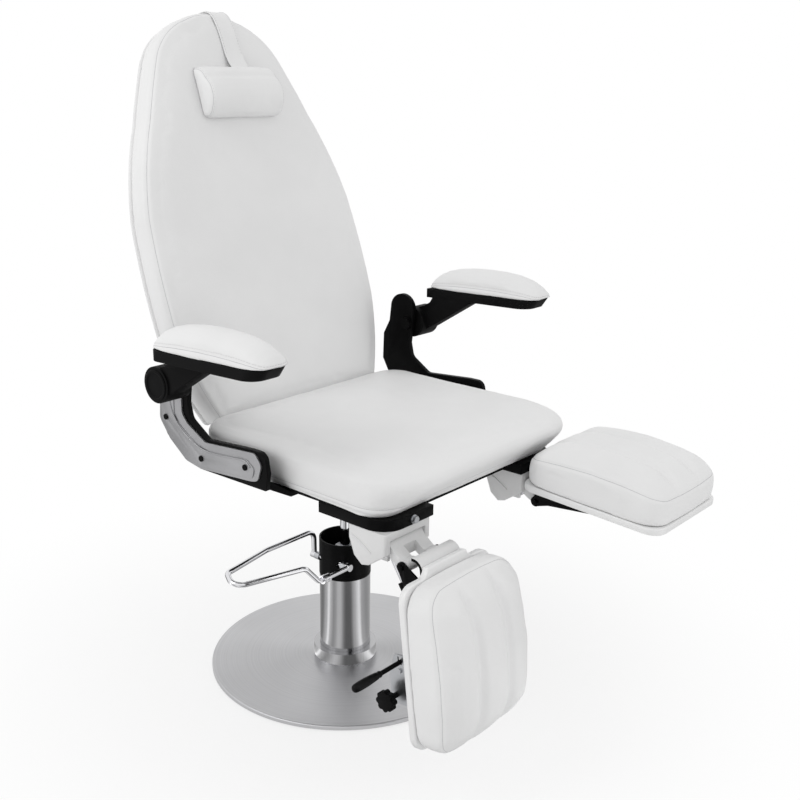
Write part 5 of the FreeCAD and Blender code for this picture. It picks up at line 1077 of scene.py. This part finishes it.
class CHAIR_OT_studio(bpy.types.Operator):
    """Make the floor, the soft lights, the glowing plane that paints reflections on the metal, and the
    camera
    """

    bl_idname = "chair.studio"
    bl_label = "Studio"

    def execute(self, context):
        settings = context.scene.chair_studio
        self.floor_finish("Studio floor")
        self.plane("studio_floor", 60, 0, "Studio floor")
        self.world(settings)
        self.softbox("key_light", (-2.6, 0.9, 2.9), 1.8, settings.key)
        self.softbox("fill_light", (1.4, -2.9, 2.2), 1.6, settings.fill)
        # A glowing plane, seen only in reflections, paints light and dark reflection stripes on the bright
        # metal.
        self.painted_reflection_finish("Painted reflection glow")
        ground = self.plane("painted_reflection_plane", 8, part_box("base_disc")[1].z + 0.002, "Painted reflection glow")
        ground.rotation_euler.z = math.atan2(-math.cos(settings.azimuth), -math.sin(settings.azimuth))
        for ray in ("camera", "diffuse", "shadow", "transmission"):
            setattr(ground, "visible_" + ray, False)
        self.camera(settings)
        context.scene.view_settings.view_transform = "Standard"
        return {"FINISHED"}

    def plane(self, name, size, level, finish):
        """A level plane that belongs to the studio."""
        settle()
        bpy.ops.mesh.primitive_plane_add(size=size, location=(0, 0, level))
        made = bpy.context.object
        made.name = name
        made.data.materials.append(bpy.data.materials[finish])
        return made

    def white_seen(self, tree):
        """One where the camera, a reflection or glass sees the surface, else nothing."""
        rays = shade(tree, "LightPath").node.outputs
        seen = shade(tree, "Math", {0: rays["Is Camera Ray"], 1: rays["Is Glossy Ray"]},
                     operation="MAXIMUM")
        return shade(tree, "Math", {0: seen, 1: rays["Is Transmission Ray"]}, operation="MAXIMUM")

    def surfaced(self, tree, share, first, second, output="Material Output"):
        """End a tree in a mix of two shaders."""
        mix = shade(tree, "MixShader", {"Fac": share, 1: first, 2: second})
        feed(tree, tree.nodes[output], {"Surface": mix})

    def floor_finish(self, name):
        """A pale floor that keeps the chair's soft shadow."""
        tree, shader = new_tree(name)
        feed(tree, shader, {"Base Color": (0.93, 0.93, 0.93, 1), "Roughness": 0.9,
                            "Specular IOR Level": 0.0})
        reach = shade(tree, "VectorMath", {0: shade(tree, "TexCoord", output="Object")}, "Value",
                      operation="LENGTH")
        fade = shade(tree, "MapRange", {"Value": reach, "From Min": 0.3, "From Max": 1.1, "To Min": 0.72},
                     interpolation_type="SMOOTHSTEP")
        share = shade(tree, "Math", {0: self.white_seen(tree), 1: fade}, operation="MULTIPLY")
        self.surfaced(tree, share, shader.outputs["BSDF"], shade(tree, "Emission"))

    def world(self, settings):
        """Even light all round, white where it is seen."""
        world = bpy.data.worlds.new("Studio")
        bpy.context.scene.world = world
        world.use_nodes = True
        tree = world.node_tree
        ground = tree.nodes["Background"]
        feed(tree, ground, {"Color": (1, 1, 1, 1), "Strength": settings.sky})
        white = shade(tree, "Background", {"Color": (1, 1, 1, 1), "Strength": 1.0})
        self.surfaced(tree, self.white_seen(tree), ground.outputs["Background"], white, "World Output")

    def painted_reflection_finish(self, name):
        """A painted reflection: a glowing plane that only reflections see, whose light and dark sectors
        stripe the bright metal.
        """
        tree, shader = new_tree(name)
        place = shade(tree, "TexCoord", output="Object")
        parts = shade(tree, "SeparateXYZ", {"Vector": place}).node.outputs
        turn = shade(tree, "Math", {0: parts["Y"], 1: parts["X"]}, operation="ARCTAN2")
        share = shade(tree, "MapRange", {"Value": turn, "From Min": -math.pi, "From Max": math.pi})
        ramp = shade(tree, "ValToRGB", {"Fac": share})
        stops = ramp.node.color_ramp
        stops.interpolation = "EASE"
        for number, (degrees, tone) in enumerate(PAINTED_REFLECTION_SECTORS):
            stop = stops.elements[number] if number < 2 else stops.elements.new(0.999)
            stop.position = (degrees + 180) / 360
            stop.color = (tone, tone, tone, 1)
        glow = shade(tree, "Emission", {"Color": ramp, "Strength": 2.0})
        below = shade(tree, "NewGeometry", output="Backfacing")
        self.surfaced(tree, below, glow, shade(tree, "BsdfTransparent"))

    def softbox(self, name, place, size, power):
        """A square soft light that looks at the chair's middle."""
        settle()
        bpy.ops.object.light_add(type="AREA", location=place)
        lamp = bpy.context.object
        lamp.name = name
        lamp.data.shape = "RECTANGLE"
        lamp.data.size = lamp.data.size_y = size
        lamp.data.energy = power
        lamp.rotation_euler = (Vector((0, 0, 0.6)) - Vector(place)).to_track_quat("-Z", "Y").to_euler()

    def camera(self, settings):
        settle()
        bpy.ops.object.camera_add(location=settings.eye)
        camera = bpy.context.object
        camera.name = "studio_camera"
        level = Vector((math.sin(settings.azimuth), math.cos(settings.azimuth), 0))
        look = level * math.cos(settings.pitch) - Vector((0, 0, math.sin(settings.pitch)))
        right = look.cross(Vector((0, 0, 1))).normalized()
        axes = Matrix((right, right.cross(look), -look)).transposed()
        camera.rotation_euler = (axes @ Matrix.Rotation(settings.roll, 3, "Z")).to_euler()
        camera.data.lens = settings.lens
        camera.data.sensor_width = 36
        camera.data.clip_end = 100
        bpy.context.scene.camera = camera


STEPS = (
    CHAIR_OT_finishes,
    CHAIR_OT_studio,
    CHAIR_OT_seat_cushion,
    CHAIR_OT_back_rest,
    CHAIR_OT_headrest,
    CHAIR_OT_arm_pads,
    CHAIR_OT_leg_pads,
    CHAIR_OT_arm_frames,
    CHAIR_OT_side_covers,
    CHAIR_OT_leg_shells,
    CHAIR_OT_controls,
)


class CHAIR_PT_panel(bpy.types.Panel):
    """Sizes, colours and the steps that build the chair's looks"""

    bl_label = "Pedicure Chair"
    bl_idname = "CHAIR_PT_panel"
    bl_space_type = "VIEW_3D"
    bl_region_type = "UI"
    bl_category = "Chair"

    def draw(self, context):
        layout = self.layout
        for group in (context.scene.chair_upholstery, context.scene.chair_finishes,
                      context.scene.chair_studio):
            box = layout.box()
            for key in group.bl_rna.properties.keys():
                if key not in ("rna_type", "name"):
                    box.prop(group, key)
        for step in STEPS:
            layout.operator(step.bl_idname)


CLASSES = (UpholsterySettings, FinishSettings, StudioSettings, *STEPS, CHAIR_PT_panel)


def register():
    for item in CLASSES:
        bpy.utils.register_class(item)
    bpy.types.Scene.chair_upholstery = PointerProperty(type=UpholsterySettings)
    bpy.types.Scene.chair_finishes = PointerProperty(type=FinishSettings)
    bpy.types.Scene.chair_studio = PointerProperty(type=StudioSettings)


def unregister():
    del bpy.types.Scene.chair_studio
    del bpy.types.Scene.chair_finishes
    del bpy.types.Scene.chair_upholstery
    for item in reversed(CLASSES):
        bpy.utils.unregister_class(item)


def main():
    register()
    for step in STEPS:
        area, action = step.bl_idname.split(".")
        getattr(getattr(bpy.ops, area), action)()


if __name__ == "__main__":
    main()
